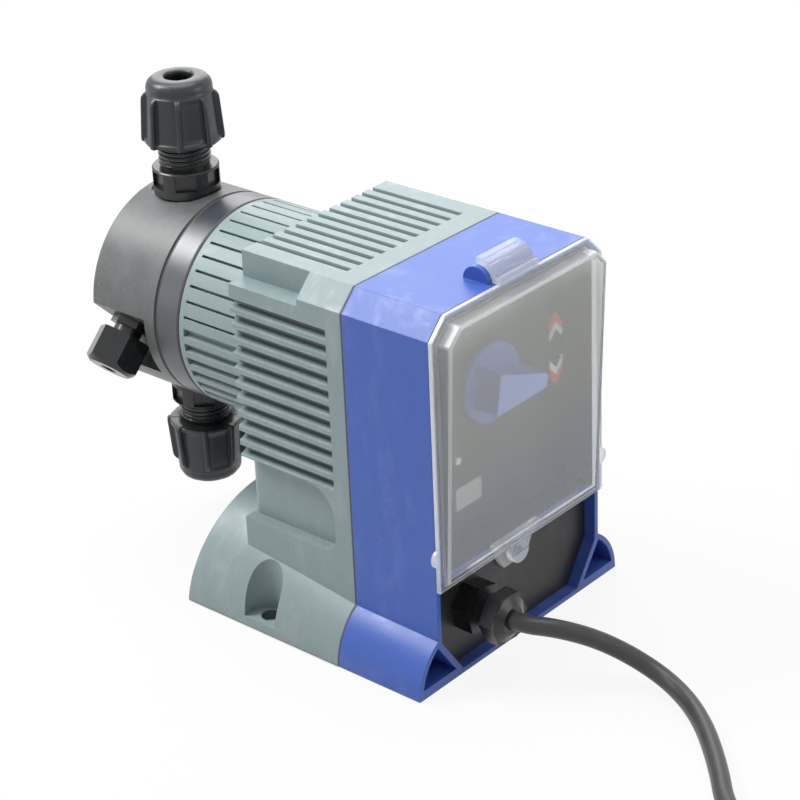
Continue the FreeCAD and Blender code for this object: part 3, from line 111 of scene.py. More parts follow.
cordSettings = {
    # lengths in mm, angles in degrees round the coil
    "radius": 4.35,
    "ground": 4.4,              # height of the cord's line when it lies
    "route": [(-31.7, -112.0, 30.0), (-31.7, -124.5, 30.0), (-23.5, -136.5, 28.6),
              (-11.8, -149.5, 22.4), (-2.6, -162.5, 14.0), (0.8, -179.0, 6.8),
              (-5.0, -196.0, 4.4), (-16.8, -212.5, 4.4), (-30.5, -226.8, 4.4),
              (-43.6, -239.0, 4.4), (-56.9, -250.0, 4.4), (-64.4, -260.6, 4.4),
              (-68.9, -272.8, 4.4), (-70.1, -285.7, 4.4), (-70.1, -328.0, 4.4)],
    "meanRadius": 44.0,         # of the coil's middle lane
    "lanes": 3,
    "layers": 3,
    "stepsPerTurn": 16,
    "firstAngle": -90,
    "lastAngle": 2160,
    # each move to another lane or layer: where it starts and ends, and 1 for out or up
    "moves": [(198, 256, -1), (795, 855, 1), (1390, 1450, 1)],
    "climbs": [(497, 555, 1), (1090, 1150, 1), (1730, 1775, -1), (2085, 2128, -1)],
    # the run to the plug: angle, distance out from the coil's outer turn, height
    "tail": [(0, 0.0, 4.4), (13, 0.5, 4.4), (27, 4.5, 5.2), (40, 10.0, 7.0), (51, 16.5, 7.0)],
    "stepsRound": 8,
    "stepsAlong": 8,            # between two points of the line
}


def coilFrame(settings):
    # the coil's centre and its two level directions, which follow from the last run of the route
    end, before = (np.array(settings["route"][i]) for i in (-1, -2))
    way = (end - before)[:2] / np.linalg.norm((end - before)[:2])
    side = np.array([-way[1], way[0]])
    mean = settings["meanRadius"]
    reach = math.sqrt((mean + 2 * settings["radius"]) ** 2 - mean ** 2)
    return end[:2] + side * mean + way * reach, way, side


def coilLane(angle, settings):
    # Radius and height over the turned angle: a sum of smooth steps s * s * (3 - 2 * s). The cord
    # lies down on the middle lane, moves in, climbs layer by layer while it works outwards, and
    # comes down again on the outer lane.
    def passed(changes):
        total = 0
        for start, end, way in changes:
            share = np.clip((angle - start) / (end - start), 0, 1)
            total += way * share * share * (3 - 2 * share)
        return total

    thick = 2 * settings["radius"]
    radius = settings["meanRadius"] + thick * passed(settings["moves"])
    return radius, settings["ground"] + thick * passed(settings["climbs"])


def cordPoints(settings):
    # The route, the coil and the run to the plug. The coil's control points stand outside its turns,
    # by 1 / cos(half a step), because the smooth line touches the middles of their runs.
    centre, way, side = coilFrame(settings)
    mean, ground = settings["meanRadius"], settings["ground"]

    def place(along, aside, height):
        return (*(centre + way * along + side * aside), height)

    def placeAt(angle, radius, height):
        turned = math.radians(angle)
        return place(radius * math.cos(turned), radius * math.sin(turned), height)

    step = 360 / settings["stepsPerTurn"]
    half = math.radians(step / 2)
    stretch = 1 / math.cos(half)
    points = list(settings["route"])
    points.append(place(-mean * math.tan(half), -mean, ground))
    for angle in np.arange(settings["firstAngle"] + step / 2, settings["lastAngle"], step):
        radius, height = coilLane(angle, settings)
        points.append(placeAt(angle, radius * stretch, height))
    outer = mean + 2 * settings["radius"]
    for angle, away, height in settings["tail"]:
        points.append(placeAt(angle, outer + away, height))
    return points


def smoothLength(points, samples=17):
    # the length of the smooth line: each stretch is a parabola between the middles of two runs
    p = np.array(points)
    middles = (p[1:] + p[:-1]) / 2
    middles[0], middles[-1] = p[0], p[-1]
    t = np.linspace(0, 1, samples)[:, None, None]
    line = (1 - t) ** 2 * middles[:-1] + 2 * t * (1 - t) * p[1:-1] + t ** 2 * middles[1:]
    return np.linalg.norm(np.diff(line, axis=0), axis=2).sum()


def addCord(settings):
    curve = bpy.data.curves.new("mains_cord", "CURVE")
    curve.dimensions = "3D"
    # bevel_depth times a point's radius is the cord's half thickness, and the curve's box grows by
    # the radius alone, so the radius is the small number of the two
    curve.bevel_depth = 1
    curve.bevel_resolution = settings["stepsRound"]
    curve.use_fill_caps = True
    spline = curve.splines.new("NURBS")
    points = cordPoints(settings)
    spline.points.add(len(points) - 1)
    for spot, (x, y, z) in zip(spline.points, points):
        spot.co = (x * mm, y * mm, z * mm, 1)
        spot.radius = settings["radius"] * mm
    spline.order_u = 3
    spline.use_endpoint_u = True
    spline.resolution_u = settings["stepsAlong"]
    cord = bpy.data.objects.new("mains_cord", curve)
    scene.collection.objects.link(cord)
    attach(cord, "pump")
    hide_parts("power_cord", "cord_coil", "cord_tail")
    length = smoothLength(points) * mm
    [v * mm for v in points[0]]
    2 * settings["radius"] * mm
    print("cord of", round(length, 3), "m")
    return cord


cord = addCord(cordSettings)


# The tie round the coil

tieSettings = {
    # in mm, the angle in degrees round the coil
    "angle": -86.0,
    "width": 4.0,
    "thick": 0.7,
    "sunk": 0.9,                # share of its thickness that is pressed in between the turns
    "power": 6,                 # a high power makes the corners squarer
    "beside": 0.1,              # room at the turns' sides
    "pressed": 0.02,            # squeeze from top to bottom
    "steps": 64,
}


def addTie(settings, coil):
    # A flat band swept round a rounded rectangle about the turns' section: a superellipse, whose
    # sides are half a size times |cos|^(2/power) and |sin|^(2/power) with their signs.
    centre, way, side = coilFrame(coil)
    turned = math.radians(settings["angle"])
    out = way * math.cos(turned) + side * math.sin(turned)
    across = -way * math.sin(turned) + side * math.cos(turned)
    thick = 2 * coil["radius"]
    halfWide = coil["lanes"] * thick / 2 + settings["beside"]
    halfHigh = coil["layers"] * thick / 2 - settings["pressed"]
    turns = np.arange(settings["steps"])[:, None] * 2 * np.pi / settings["steps"]

    def squared(wave):
        return np.sign(wave) * np.abs(wave) ** (2 / settings["power"])

    corners = np.array([(-0.5, 0.0), (0.5, 0.0), (0.5, 1.0), (-0.5, 1.0)])
    aside = corners[:, 0] * settings["width"]
    grow = (corners[:, 1] - settings["sunk"]) * settings["thick"]
    radial = coil["meanRadius"] + (halfWide + grow) * squared(np.cos(turns))
    middle = coil["ground"] + thick * (coil["layers"] - 1) / 2
    high = middle + (halfHigh + grow) * squared(np.sin(turns))
    flat = centre + radial[..., None] * out + aside[None, :, None] * across
    points = np.concatenate([flat, high[..., None]], axis=-1) * mm
    tie = gridMesh("cord_tie", points, closedU=True, closedV=True, smooth=False)
    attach(tie, "pump")
    return tie


tie = addTie(tieSettings, cordSettings)
print("cord and tie made")


# The hose nuts and the threads that show beside them

valveLine = 102.8               # how far back the valves stand, in mm

nutSettings = {
    # in mm, with heights counted from the open end
    "height": 32.1,
    "turn": -3.5,               # of the first rib, in degrees
    "ribs": 8,
    "skirtRadius": 18.7, "skirt": 2.4,
    "lowRadius": 17.5, "highRadius": 16.0,
    "crownRadius": 16.0, "crownStart": 24.2, "bend": 5.2,
    "holeRadius": 6.9, "bore": 12.06, "floor": 24.8,
    "ribLow": 20.3, "ribHigh": 18.6, "ribHalf": 1.65, "ribTop": 24.2,
    "ribCut": 0.5, "ribCutHeight": 0.8,         # the chamfer at a rib's foot
    "ribEnd": 2.6,                              # height over which a rib runs out
    # rounded edges, as steps past the skirt's or hole's radius and past the foot or the top
    "foot": [(-0.5, 0.0), (-0.15, 0.12), (0.0, 0.5)],
    "mouth": [(1.2, 0.0), (0.3, -0.25), (0.0, -1.0)],
    # the grid's lines beside a rib's middle, in half widths
    "lines": [0, 0.28, 0.56, 0.76, 0.88, 0.952, 0.992, 1.04, 1.2, 1.5, 2.0, 2.8],
    "rows": 9,
    # height of each nut's open end, and 1 where its crown is above that
    "places": {"delivery_nut": (202.2, 1), "suction_nut": (52.8, -1)},
}


def nutSurface(settings):
    # A turned profile goes up the outside, over the crown, down the hole and the bore. Each rib lifts
    # it to radius ribLow at the foot, less towards the crown, by (1 - (s / ribHalf)^4)^(1/2) at the
    # distance s to the side of the rib's middle.
    n = settings
    high, skirt, ribTop, bend, rows = (n[key] for key in ("height", "skirt", "ribTop", "bend", "rows"))
    slope = (n["lowRadius"] - n["highRadius"]) / (n["crownStart"] - skirt)
    outside = [(n["bore"], 0.0)]
    outside += [(n["skirtRadius"] + past, z) for past, z in n["foot"]]
    outside += [(n["skirtRadius"] - 0.1, skirt - 0.3), (n["lowRadius"] + 0.3, skirt + 0.1)]
    wall = np.linspace(skirt + 0.5, ribTop - 2.4, rows)
    outside += [(n["lowRadius"] - slope * (z - skirt), z) for z in wall]
    outside += [(n["highRadius"] + 0.1, z) for z in np.linspace(ribTop - 2.0, ribTop + 0.3, rows - 1)]
    outside += [(n["crownRadius"] + 0.05, n["crownStart"] + 0.3)]
    arc = np.linspace(0, np.pi / 2, rows)
    crown = [(n["crownRadius"] - bend + bend * math.cos(a), high - bend + bend * math.sin(a)) for a in arc]
    inside = [(n["holeRadius"] + past, high + z) for past, z in n["mouth"]]
    inside += [(n["holeRadius"], n["floor"]), (n["bore"], n["floor"])]
    profile = np.array(outside + crown + inside)
    beside = n["ribHalf"] * np.array(n["lines"])
    step, first = 2 * np.pi / n["ribs"], math.radians(n["turn"])
    angles = np.concatenate([-beside[:0:-1], beside]) / n["ribLow"]
    angles = (angles[None, :] + step * np.arange(n["ribs"])[:, None]).ravel() + first
    sideways = (np.abs((angles - first + step / 2) % step - step / 2) * n["ribLow"])[None, :]
    radius, height = profile[:, :1], profile[:, 1:]
    lift = np.sqrt(np.clip(1 - (sideways / n["ribHalf"]) ** 4, 0, 1))
    ribRadius = n["ribLow"] + (n["ribHigh"] - n["ribLow"]) * height / ribTop
    ribRadius = ribRadius - n["ribCut"] * np.clip(1 - height / n["ribCutHeight"], 0, 1)
    ended = np.sqrt(np.clip((ribTop - height) / n["ribEnd"], 0, 1))
    ribbed = (np.arange(len(profile))[:, None] < len(outside)) * (radius > n["bore"] + 0.1)
    grown = radius + lift * ended * np.maximum(ribRadius - radius, 0) * ribbed
    return np.stack([grown * np.cos(angles), grown * np.sin(angles), height + 0 * angles], axis=-1)


def addNut(name, settings):
    start, way = settings["places"][name]
    points = nutSurface(settings)
    points[..., 2] = start + way * points[..., 2]
    points[..., 1] += valveLine
    nut = gridMesh(name + "_shell", points * mm, closedU=True, closedV=True, flip=way > 0)
    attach(nut, name)
    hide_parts(name)
    return nut


threadSettings = {
    # in mm
    "pitch": 2.3, "root": 11.7, "crest": 12.75, "half": 0.8,
    "perTurn": 48,
    "runOut": 6,                # the ridge is at its full height a sixth of a turn from its ends
    # the tooth from below to above: share of its height, share of its half width
    "tooth": [(0.0, -1.0), (0.75, -0.45), (1.0, -0.15), (1.0, 0.15), (0.75, 0.45), (0.0, 1.0)],
    "places": {"delivery_thread": (189.7, 202.0), "suction_thread": (53.0, 63.9)},
}


def addThread(name, settings):
    # a ridge swept along a helix: radius from root to crest over a rounded tooth, its ends run out
    t = settings
    low, high = t["places"][name]
    turns = (high - low - 2 * t["half"]) / t["pitch"]
    share = np.linspace(0, 1, int(turns * t["perTurn"]))[:, None]
    angle = share * turns * 2 * np.pi
    ends = np.sqrt(np.clip(np.minimum(share, 1 - share) * turns * t["runOut"], 0, 1))
    out, along = np.array(t["tooth"]).T[:, None, :]
    radius = t["root"] + (t["crest"] - t["root"]) * out * ends
    height = low + t["half"] + share * turns * t["pitch"] + along * t["half"] * ends
    points = np.stack([radius * np.cos(angle), valveLine + radius * np.sin(angle), height], axis=-1)
    thread = gridMesh(name, points * mm, closedV=True, flip=True)
    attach(thread, "pump")
    return thread


nuts = [addNut(name, nutSettings) for name in nutSettings["places"]]
threads = [addThread(name, threadSettings) for name in threadSettings["places"]]
print("nuts and threads made")


# Shader arithmetic

def feed(socket, value):
    # link a wire, or set a number, a colour or a direction
    if isinstance(value, Wire):
        value.tree.links.new(value.socket, socket)
    elif isinstance(value, (tuple, list)) and len(value) == 3 and len(socket.default_value) == 4:
        socket.default_value = (*value, 1)
    else:
        socket.default_value = value


class Wire:
    # a shader socket that takes part in arithmetic
    def __init__(self, tree, socket):
        self.tree = tree
        self.socket = socket

    def node(self, kind, settings, sockets, out=0):
        # any other node: its settings come first, then the values or links of its sockets
        made = self.tree.nodes.new(kind)
        for key, value in settings.items():
            setattr(made, key, value)
        for key, value in sockets.items():
            feed(made.inputs[key], value)
        return Wire(self.tree, made.outputs[out])

    def maths(self, operation, first, second=0.0):
        return self.node("ShaderNodeMath", {"operation": operation}, {0: first, 1: second})

    def __add__(self, other):
        return self.maths("ADD", self, other)

    def __radd__(self, other):
        return self.maths("ADD", other, self)

    def __sub__(self, other):
        return self.maths("SUBTRACT", self, other)

    def __rsub__(self, other):
        return self.maths("SUBTRACT", other, self)

    def __mul__(self, other):
        return self.maths("MULTIPLY", self, other)

    def __rmul__(self, other):
        return self.maths("MULTIPLY", other, self)

    def __truediv__(self, other):
        return self.maths("DIVIDE", self, other)

    def __rtruediv__(self, other):
        return self.maths("DIVIDE", other, self)

    def __mod__(self, other):
        return self.maths("FLOORED_MODULO", self, other)

    def __rmod__(self, other):
        return self.maths("FLOORED_MODULO", other, self)

    def __abs__(self):
        return self.maths("ABSOLUTE", self)

    def root(self):
        return self.maths("SQRT", self)

    def sine(self):
        return self.maths("SINE", self)

    def least(self, other):
        return self.maths("MINIMUM", self, other)

    def most(self, other):
        return self.maths("MAXIMUM", self, other)

    def ramp(self, low, high):
        # a smooth step from 0 at low to 1 at high
        return self.node("ShaderNodeMapRange", {"interpolation_type": "SMOOTHSTEP"},
                         {"Value": self, "From Min": low, "From Max": high})

    def past(self, edge, soft):
        # 0 before the edge and 1 past it, over soft to each side
        return self.ramp(edge - soft, edge + soft)

    def between(self, low, high, soft):
        return self.past(low, soft) * (1 - self.past(high, soft))

    def fromGroove(self, first, pitch):
        # distance from the nearest of many middles, one at first and the others a pitch apart
        return abs((self - first + pitch / 2) % pitch - pitch / 2)

    def blend(self, first, second):
        # first where this is 0, second where it is 1
        return self.node("ShaderNodeMix", {"data_type": "RGBA"}, {"Factor": self, 6: first, 7: second}, out=2)

    def shades(self, colour, low, high):
        # low times the colour where this is 0, high times where it is 1
        return self.blend(tinted(colour, low), tinted(colour, high))


class Paint(Wire):
    # a new material: its arithmetic starts from the object's own coordinates
    def __init__(self, name):
        self.material = bpy.data.materials.new(name)
        self.material.use_nodes = True
        tree = self.material.node_tree
        self.shader = tree.nodes["Principled BSDF"]
        coordinates = tree.nodes.new("ShaderNodeTexCoord")
        super().__init__(tree, coordinates.outputs["Object"])
        split = tree.nodes.new("ShaderNodeSeparateXYZ")
        tree.links.new(self.socket, split.inputs[0])
        self.x, self.y, self.z = (Wire(tree, split.outputs[i]) for i in range(3))

    def millimetres(self):
        # the place in mm, with x counted to either side from the middle
        return abs(self.x) / mm, self.y / mm, self.z / mm

    def noise(self, size, detail=2.0, rough=0.5, stretch=(1, 1, 1), twist=0.0):
        # size is that of one blotch in metres
        spot = self.node("ShaderNodeVectorMath", {"operation": "MULTIPLY"}, {0: self, 1: stretch})
        return self.node("ShaderNodeTexNoise", {}, {"Vector": spot, "Scale": 1 / size, "Detail": detail,
                                                    "Roughness": rough, "Distortion": twist})

    def spots(self, size, radius):
        # scattered spots, one in each cell of that size, with a radius in cells
        away = self.node("ShaderNodeTexVoronoi", {}, {"Vector": self, "Scale": 1 / size})
        return 1 - away.ramp(0.02, radius)

    def hairlines(self, size, width, stretch):
        # fine scratches, where a noise crosses its middle value
        return 1 - abs(self.noise(size, 2.0, 0.5, stretch) - 0.5).ramp(0.0, width)

    def latheLines(self, pitch):
        # fine turned rings round y, as a wave from -1 to 1
        return (self.y * (2 * math.pi / pitch)).sine()

    def surface(self):
        # the material's own shader, for a mix with others
        return Wire(self.tree, self.shader.outputs[0])

    def finish(self, colour, roughness, bump=None, depth=0.0, edge=0.0, **more):
        # depth is that of the bump, and edge the radius at which sharp edges catch the light, in mm
        feed(self.shader.inputs["Base Color"], colour)
        feed(self.shader.inputs["Roughness"], roughness)
        for key, value in more.items():
            feed(self.shader.inputs[key.replace("_", " ")], value)
        if bump is not None:
            heights = {"Height": bump, "Distance": depth * mm, "Strength": 1.0}
            if edge:
                heights["Normal"] = self.node("ShaderNodeBevel", {"samples": 4}, {"Radius": edge * mm})
            feed(self.shader.inputs["Normal"], self.node("ShaderNodeBump", {}, heights))
        return self.material

    def show(self, whole):
        # put a mix of shaders in place of the material's own
        feed(self.tree.nodes["Material Output"].inputs["Surface"], whole)
        return self.material


def seenRays(tree):
    # 1 for the rays by which the camera, gloss and glass see, 0 for those that light the object
    path = tree.nodes.new("ShaderNodeLightPath")
    camera, gloss, glass = (Wire(tree, path.outputs[name])
                            for name in ("Is Camera Ray", "Is Glossy Ray", "Is Transmission Ray"))
    return camera.most(gloss).most(glass)


def screenColour(red, green, blue):
    # a colour as read off a screen, 0 to 255, made linear
    shares = (value / 255 for value in (red, green, blue))
    return tuple(s / 12.92 if s <= 0.04045 else ((s + 0.055) / 1.055) ** 2.4 for s in shares)


def tinted(colour, factor):
    # paler or darker, but no brighter than white
    return tuple(min(1.0, v * factor) for v in colour)


# Floor and light

white = (1, 1, 1)

floorSettings = {
    "half": 6.0,
    "height": -0.4 * mm,
    "tones": ((0.58, 0.58, 0.58), (0.62, 0.62, 0.62)),
    "blotch": 0.8,
    "roughness": 0.7,
    "glow": 1.02,
    "glowShare": 0.88,          # how far the glow hides the floor's own shade from the camera
    "shadeUnder": 0.83,         # what of that is taken back under the foot
    "footBack": 47 * mm,
}

lightSettings = {
    # place, what it looks at, size, power
    "key": ((-0.75, 1.25, 1.75), (0, 0, 0.12), 0.9, 39.0),
    "top": ((0.2, 0.2, 1.9), (0, 0, 0.1), 1.3, 20.0),
    "sheen": ((1.2, 1.1, 0.95), (0, 0, 0.15), 1.2, 10.0),
    "side": ((-1.2, 1.5, 0.35), (0, 0, 0.12), 0.8, 2.2),
    "front": ((0.7, -1.6, 0.8), (0, 0, 0.12), 1.0, 7.0),
}

worldSettings = {"light": 0.22, "shown": 1.0}


def addFloor(settings):
    half, height = settings["half"], settings["height"]
    corners = [(-half, -half, height), (half, -half, height), (half, half, height), (-half, half, height)]
    floor = meshFrom("floor", corners, [(0, 1, 2, 3)], smooth=False)
    floor.data.materials.append(floorPaint(settings))


def floorPaint(settings):
    f = settings
    paint = Paint("floor")
    paint.finish(paint.noise(f["blotch"], 2.0).blend(*f["tones"]), f["roughness"])
    glow = paint.node("ShaderNodeEmission", {}, {"Color": white, "Strength": f["glow"]})
    # what lies under the object, seen through its foot holes, stays dark
    (left, front, _), (right, _, _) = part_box("rear_housing")
    under = paint.x.between(left, right, 1 * mm) * paint.y.between(front, f["footBack"], 1 * mm)
    share = seenRays(paint.tree) * (f["glowShare"] - f["shadeUnder"] * under)
    return paint.show(paint.node("ShaderNodeMixShader", {}, {0: share, 1: paint.surface(), 2: glow}))


def addLights(settings):
    for name, (spot, aim, size, power) in settings.items():
        data = bpy.data.lights.new("light_" + name, "AREA")
        data.shape = "SQUARE"
        data.size = size
        data.energy = power
        light = bpy.data.objects.new("light_" + name, data)
        light.location = spot
        light.rotation_euler = (Vector(aim) - Vector(spot)).to_track_quat("-Z", "Y").to_euler()
        scene.collection.objects.link(light)


def addWorld(settings):
    # a dim room lights the object, and the camera, gloss and glass see a white one
    world = bpy.data.worlds.new("studio")
    scene.world = world
    world.use_nodes = True
    tree = world.node_tree
    dim = tree.nodes["Background"]
    feed(dim.inputs["Color"], white)
    feed(dim.inputs["Strength"], settings["light"])
    seen = seenRays(tree)
    bright = seen.node("ShaderNodeBackground", {}, {"Color": white, "Strength": settings["shown"]})
    room = seen.node("ShaderNodeMixShader", {}, {0: seen, 1: Wire(tree, dim.outputs[0]), 2: bright})
    feed(tree.nodes["World Output"].inputs["Surface"], room)


addFloor(floorSettings)
addLights(lightSettings)
addWorld(worldSettings)
scene.view_settings.view_transform = "Standard"
print("floor and lights made")


# Finishes that several parts share

mouldedSettings = {
    # sizes are those of one blotch, and shares say how strongly it shows
    "cloud": 60 * mm,
    "flow": 9 * mm, "flowPlace": 38 * mm, "flowShare": 0.3,
    "mottle": 2.4 * mm, "mottleShare": 0.16, "mottleTint": 1.35,
    "speck": 7 * mm, "speckPlace": 25 * mm, "speckShare": 0.3, "speckTint": 0.6,
    "dust": 9 * mm, "dustHeight": 14 * mm, "dustTone": (0.42, 0.42, 0.36),
    "rubbedAndLit": 22 * mm,
    # how strongly the painted shade (with a few real marks) and the paler edges show
    "shadeAndMarkShare": 0.75, "shadeAndMarkTint": 0.42, "paleShare": 0.4, "paleTint": 1.5,
    "grain": 0.5 * mm, "depth": 0.035, "edge": 0.6,
}


def mouldedPlastic(name, colour, roughness, spread=0.1, dusty=0.0, stain=None, shadeAndMarks=None, shadeColour=None):
    # moulded plastic: cloudy tone, flow marks that run upwards, fine eroded grain, rubbed patches and
    # a little dust near the ground; the last masks give painted shade, with a few real marks, and paler
    # edges, which on the grey shell are painted highlights
    m = mouldedSettings
    paint = Paint(name)
    cloud = paint.noise(m["cloud"], 3.0)
    flow = paint.noise(m["flow"], 5.0, 0.62, (1, 1, 0.3), twist=0.4).ramp(0.46, 0.72)
    flow = flow * paint.noise(m["flowPlace"], 2.0, 0.5, (1, 1, 0.6)).ramp(0.42, 0.62)
    mottle = paint.noise(m["mottle"], 3.0, 0.7).ramp(0.5, 0.7)
    speck = paint.spots(m["speck"], 0.06) * paint.noise(m["speckPlace"]).ramp(0.5, 0.62)
    low = (1 - paint.z.ramp(0.0, m["dustHeight"])) * paint.noise(m["dust"], 4.0).ramp(0.4, 0.7)
    rubbedAndLit = paint.noise(m["rubbedAndLit"], 5.0, 0.65, (1, 1, 2.5)).ramp(0.55, 0.72)
    tone = cloud.shades(colour, 1 - spread, 1 + spread)
    tone = (flow * m["flowShare"]).blend(tone, stain or tinted(colour, 1 + spread * 2))
    tone = (mottle * m["mottleShare"]).blend(tone, tinted(colour, m["mottleTint"]))
    tone = (speck * m["speckShare"]).blend(tone, tinted(colour, m["speckTint"]))
    tone = (low * dusty).blend(tone, m["dustTone"])
    if shadeAndMarks:
        dark, pale = shadeAndMarks(paint)
        # painted shade darkens the tone, and the paler edges lighten it
        tone = (dark * m["shadeAndMarkShare"]).blend(tone, shadeColour or tinted(colour, m["shadeAndMarkTint"]))
        tone = (pale * m["paleShare"]).blend(tone, tinted(colour, m["paleTint"]))
    gloss = roughness + 0.12 * cloud - 0.12 * rubbedAndLit - 0.08 * flow + 0.15 * low
    fine = paint.noise(m["grain"], 3.0, 0.6) + 0.6 * mottle
    return paint.finish(tone, gloss, fine, m["depth"], edge=m["edge"])


glossSettings = {
    "cloud": 18 * mm, "spread": 0.12,
    "marks": 6 * mm,
    "scratch": 7 * mm, "scratchWidth": 0.006, "scratchShare": 0.15, "scratchTint": 1.8,
    "grain": 0.8 * mm, "depth": 0.012,
}


def glossPlastic(name, colour, roughness):
    # smooth moulded parts that are handled: finger marks change the gloss
    g = glossSettings
    paint = Paint(name)
    marks = paint.noise(g["marks"], 4.0, 0.6, twist=0.6)
    scratch = paint.hairlines(g["scratch"], g["scratchWidth"], (1, 6, 1))
    tone = paint.noise(g["cloud"], 3.0).shades(colour, 1 - g["spread"], 1 + g["spread"])
    tone = (scratch * g["scratchShare"]).blend(tone, tinted(colour, g["scratchTint"]))
    gloss = roughness + 0.14 * marks + 0.1 * scratch
    return paint.finish(tone, gloss, paint.noise(g["grain"], 2.0), g["depth"])


metalSettings = {"streak": 0.8 * mm, "stain": 7 * mm, "stainShare": 0.5, "stainTint": 0.72, "depth": 0.02}


def metal(name, colour, roughness=0.3, along=(1, 1, 1)):
    # bare metal with fine streaks and dull stains; along stretches the streaks
    m = metalSettings
    paint = Paint(name)
    streak = paint.noise(m["streak"], 3.0, 0.6, along)
    stain = paint.noise(m["stain"], 4.0, 0.6).ramp(0.45, 0.75)
    tone = (stain * m["stainShare"]).blend(colour, tinted(colour, m["stainTint"]))
    return paint.finish(tone, roughness + 0.15 * streak + 0.15 * stain, streak, m["depth"], Metallic=1.0)


rubberSettings = {"cloud": 9 * mm, "dark": 0.8, "pale": 1.35, "grain": 0.7 * mm, "depth": 0.03}


def rubber(name, colour, roughness=0.6):
    # matt and cloudy, with a fine grain
    r = rubberSettings
    paint = Paint(name)
    cloud = paint.noise(r["cloud"], 4.0)
    tone = cloud.shades(colour, r["dark"], r["pale"])
    return paint.finish(tone, roughness + 0.15 * cloud, paint.noise(r["grain"], 2.0), r["depth"])


# Finishes of single parts

# the near black of the painted shadow in the seams between the head, the ring and the barrel
seamShadowTone = (0.004, 0.004, 0.005)

headSettings = {
    "colour": screenColour(91, 95, 95), "ior": 1.6,
    "cloud": 11 * mm, "dark": 0.84, "pale": 1.22,
    "fleck": 2.2 * mm, "fleckShare": 0.35, "fleckTint": 1.8,
    "speck": 9 * mm, "speckShare": 0.5, "speckTint": 3.5,
    "seamShadow": (79.6 * mm, 80.1 * mm),
    "lathe": 0.45 * mm, "grain": 0.6 * mm, "depth": 0.035,
}


def headPaint(name, settings):
    # dark plastic turned on a lathe: fine rings along its axis, pale bruises, flecks and specks, and a
    # painted shadow in the seam at its front
    h = settings
    paint = Paint(name)
    cloud = paint.noise(h["cloud"], 5.0, 0.7)
    fleck = paint.noise(h["fleck"], 4.0, 0.7)
    tone = cloud.ramp(0.3, 0.75).shades(h["colour"], h["dark"], h["pale"])
    tone = (fleck.ramp(0.55, 0.8) * h["fleckShare"]).blend(tone, tinted(h["colour"], h["fleckTint"]))
    tone = (paint.spots(h["speck"], 0.07) * h["speckShare"]).blend(tone, tinted(h["colour"], h["speckTint"]))
    tone = paint.y.ramp(*h["seamShadow"]).blend(seamShadowTone, tone)
    fine = paint.latheLines(h["lathe"]) * 0.3 + paint.noise(h["grain"], 3.0) * 0.7
    return paint.finish(tone, 0.38 + 0.16 * cloud - 0.08 * fleck, fine, h["depth"], IOR=h["ior"])


ringSettings = {
    "colour": screenColour(46, 51, 61), "ior": 1.8,
    "cloud": 14 * mm, "dark": 0.8, "pale": 1.2,
    "frontSeamShadow": (64.4 * mm, 64.8 * mm), "backSeamShadow": (77.3 * mm, 77.7 * mm),
    "lathe": 0.5 * mm, "grain": 0.8 * mm, "depth": 0.012,
}


def ringPaint(name, settings):
    # a smooth turned ring with a painted shadow in the seam at both ends
    r = settings
    paint = Paint(name)
    cloud = paint.noise(r["cloud"], 4.0, 0.6)
    seamShadow = (1 - paint.y.ramp(*r["frontSeamShadow"])).most(paint.y.ramp(*r["backSeamShadow"]))
    tone = seamShadow.blend(cloud.shades(r["colour"], r["dark"], r["pale"]), seamShadowTone)
    fine = paint.latheLines(r["lathe"]) * 0.3 + paint.noise(r["grain"])
    return paint.finish(tone, 0.27 + 0.14 * cloud + 0.4 * seamShadow, fine, r["depth"], IOR=r["ior"])


# where the cover and the recess behind it are, in mm: the outline seen from the front with its two
# cut corners, the flat rim and the wall inside it, and the front face, which leans
coverSettings = {
    "half": 60.0, "top": 183.5, "foot": 49.1, "cut": 9.7, "rim": 4.4, "wall": 2.0,
    "frontLow": (53.5, -102.9), "frontHigh": (179.1, -108.3),
    "clip": (184.3, 184.8),     # only the hinge clip is above this
    "recessDepth": 2.3, "recessFoot": 51.8, "recessBack": -98.8, "frontEdge": -99.0,
}

# the rear housing's marks in mm: each set of grooves has its ends, its face and its floor
shellSettings = {
    "sides": {"low": 82.0, "high": 165.5, "front": -40.2, "back": 19.0, "first": 86.0, "pitch": 7.5,
              "half": 2.7, "face": 59.6, "floor": 54.0},
    "roof": {"reach": 41.5, "front": -37.2, "back": 19.0, "pitch": 7.7, "half": 1.9, "face": 183.1,
             "floor": 180.1},
    "barrel": {"axis": 126.8, "front": 18.2, "back": 59.6, "face": 50.7, "floor": 47.8},
    "bolt": {"spot": (66.0, 0.0), "radius": 4.7},
    "mark": {"spot": (52.3, -12.7), "low": 170.0, "high": 171.0, "inner": 1.5, "outer": 2.1},
    # a dark line round the foot: the parting line and a painted contact shadow
    "partingAndContactShadow": (0.3, 0.9),
}


def fromSpot(x, y, spot):
    # distance from a spot, seen from above
    return ((x - spot[0]) * (x - spot[0]) + (y - spot[1]) * (y - spot[1])).root()


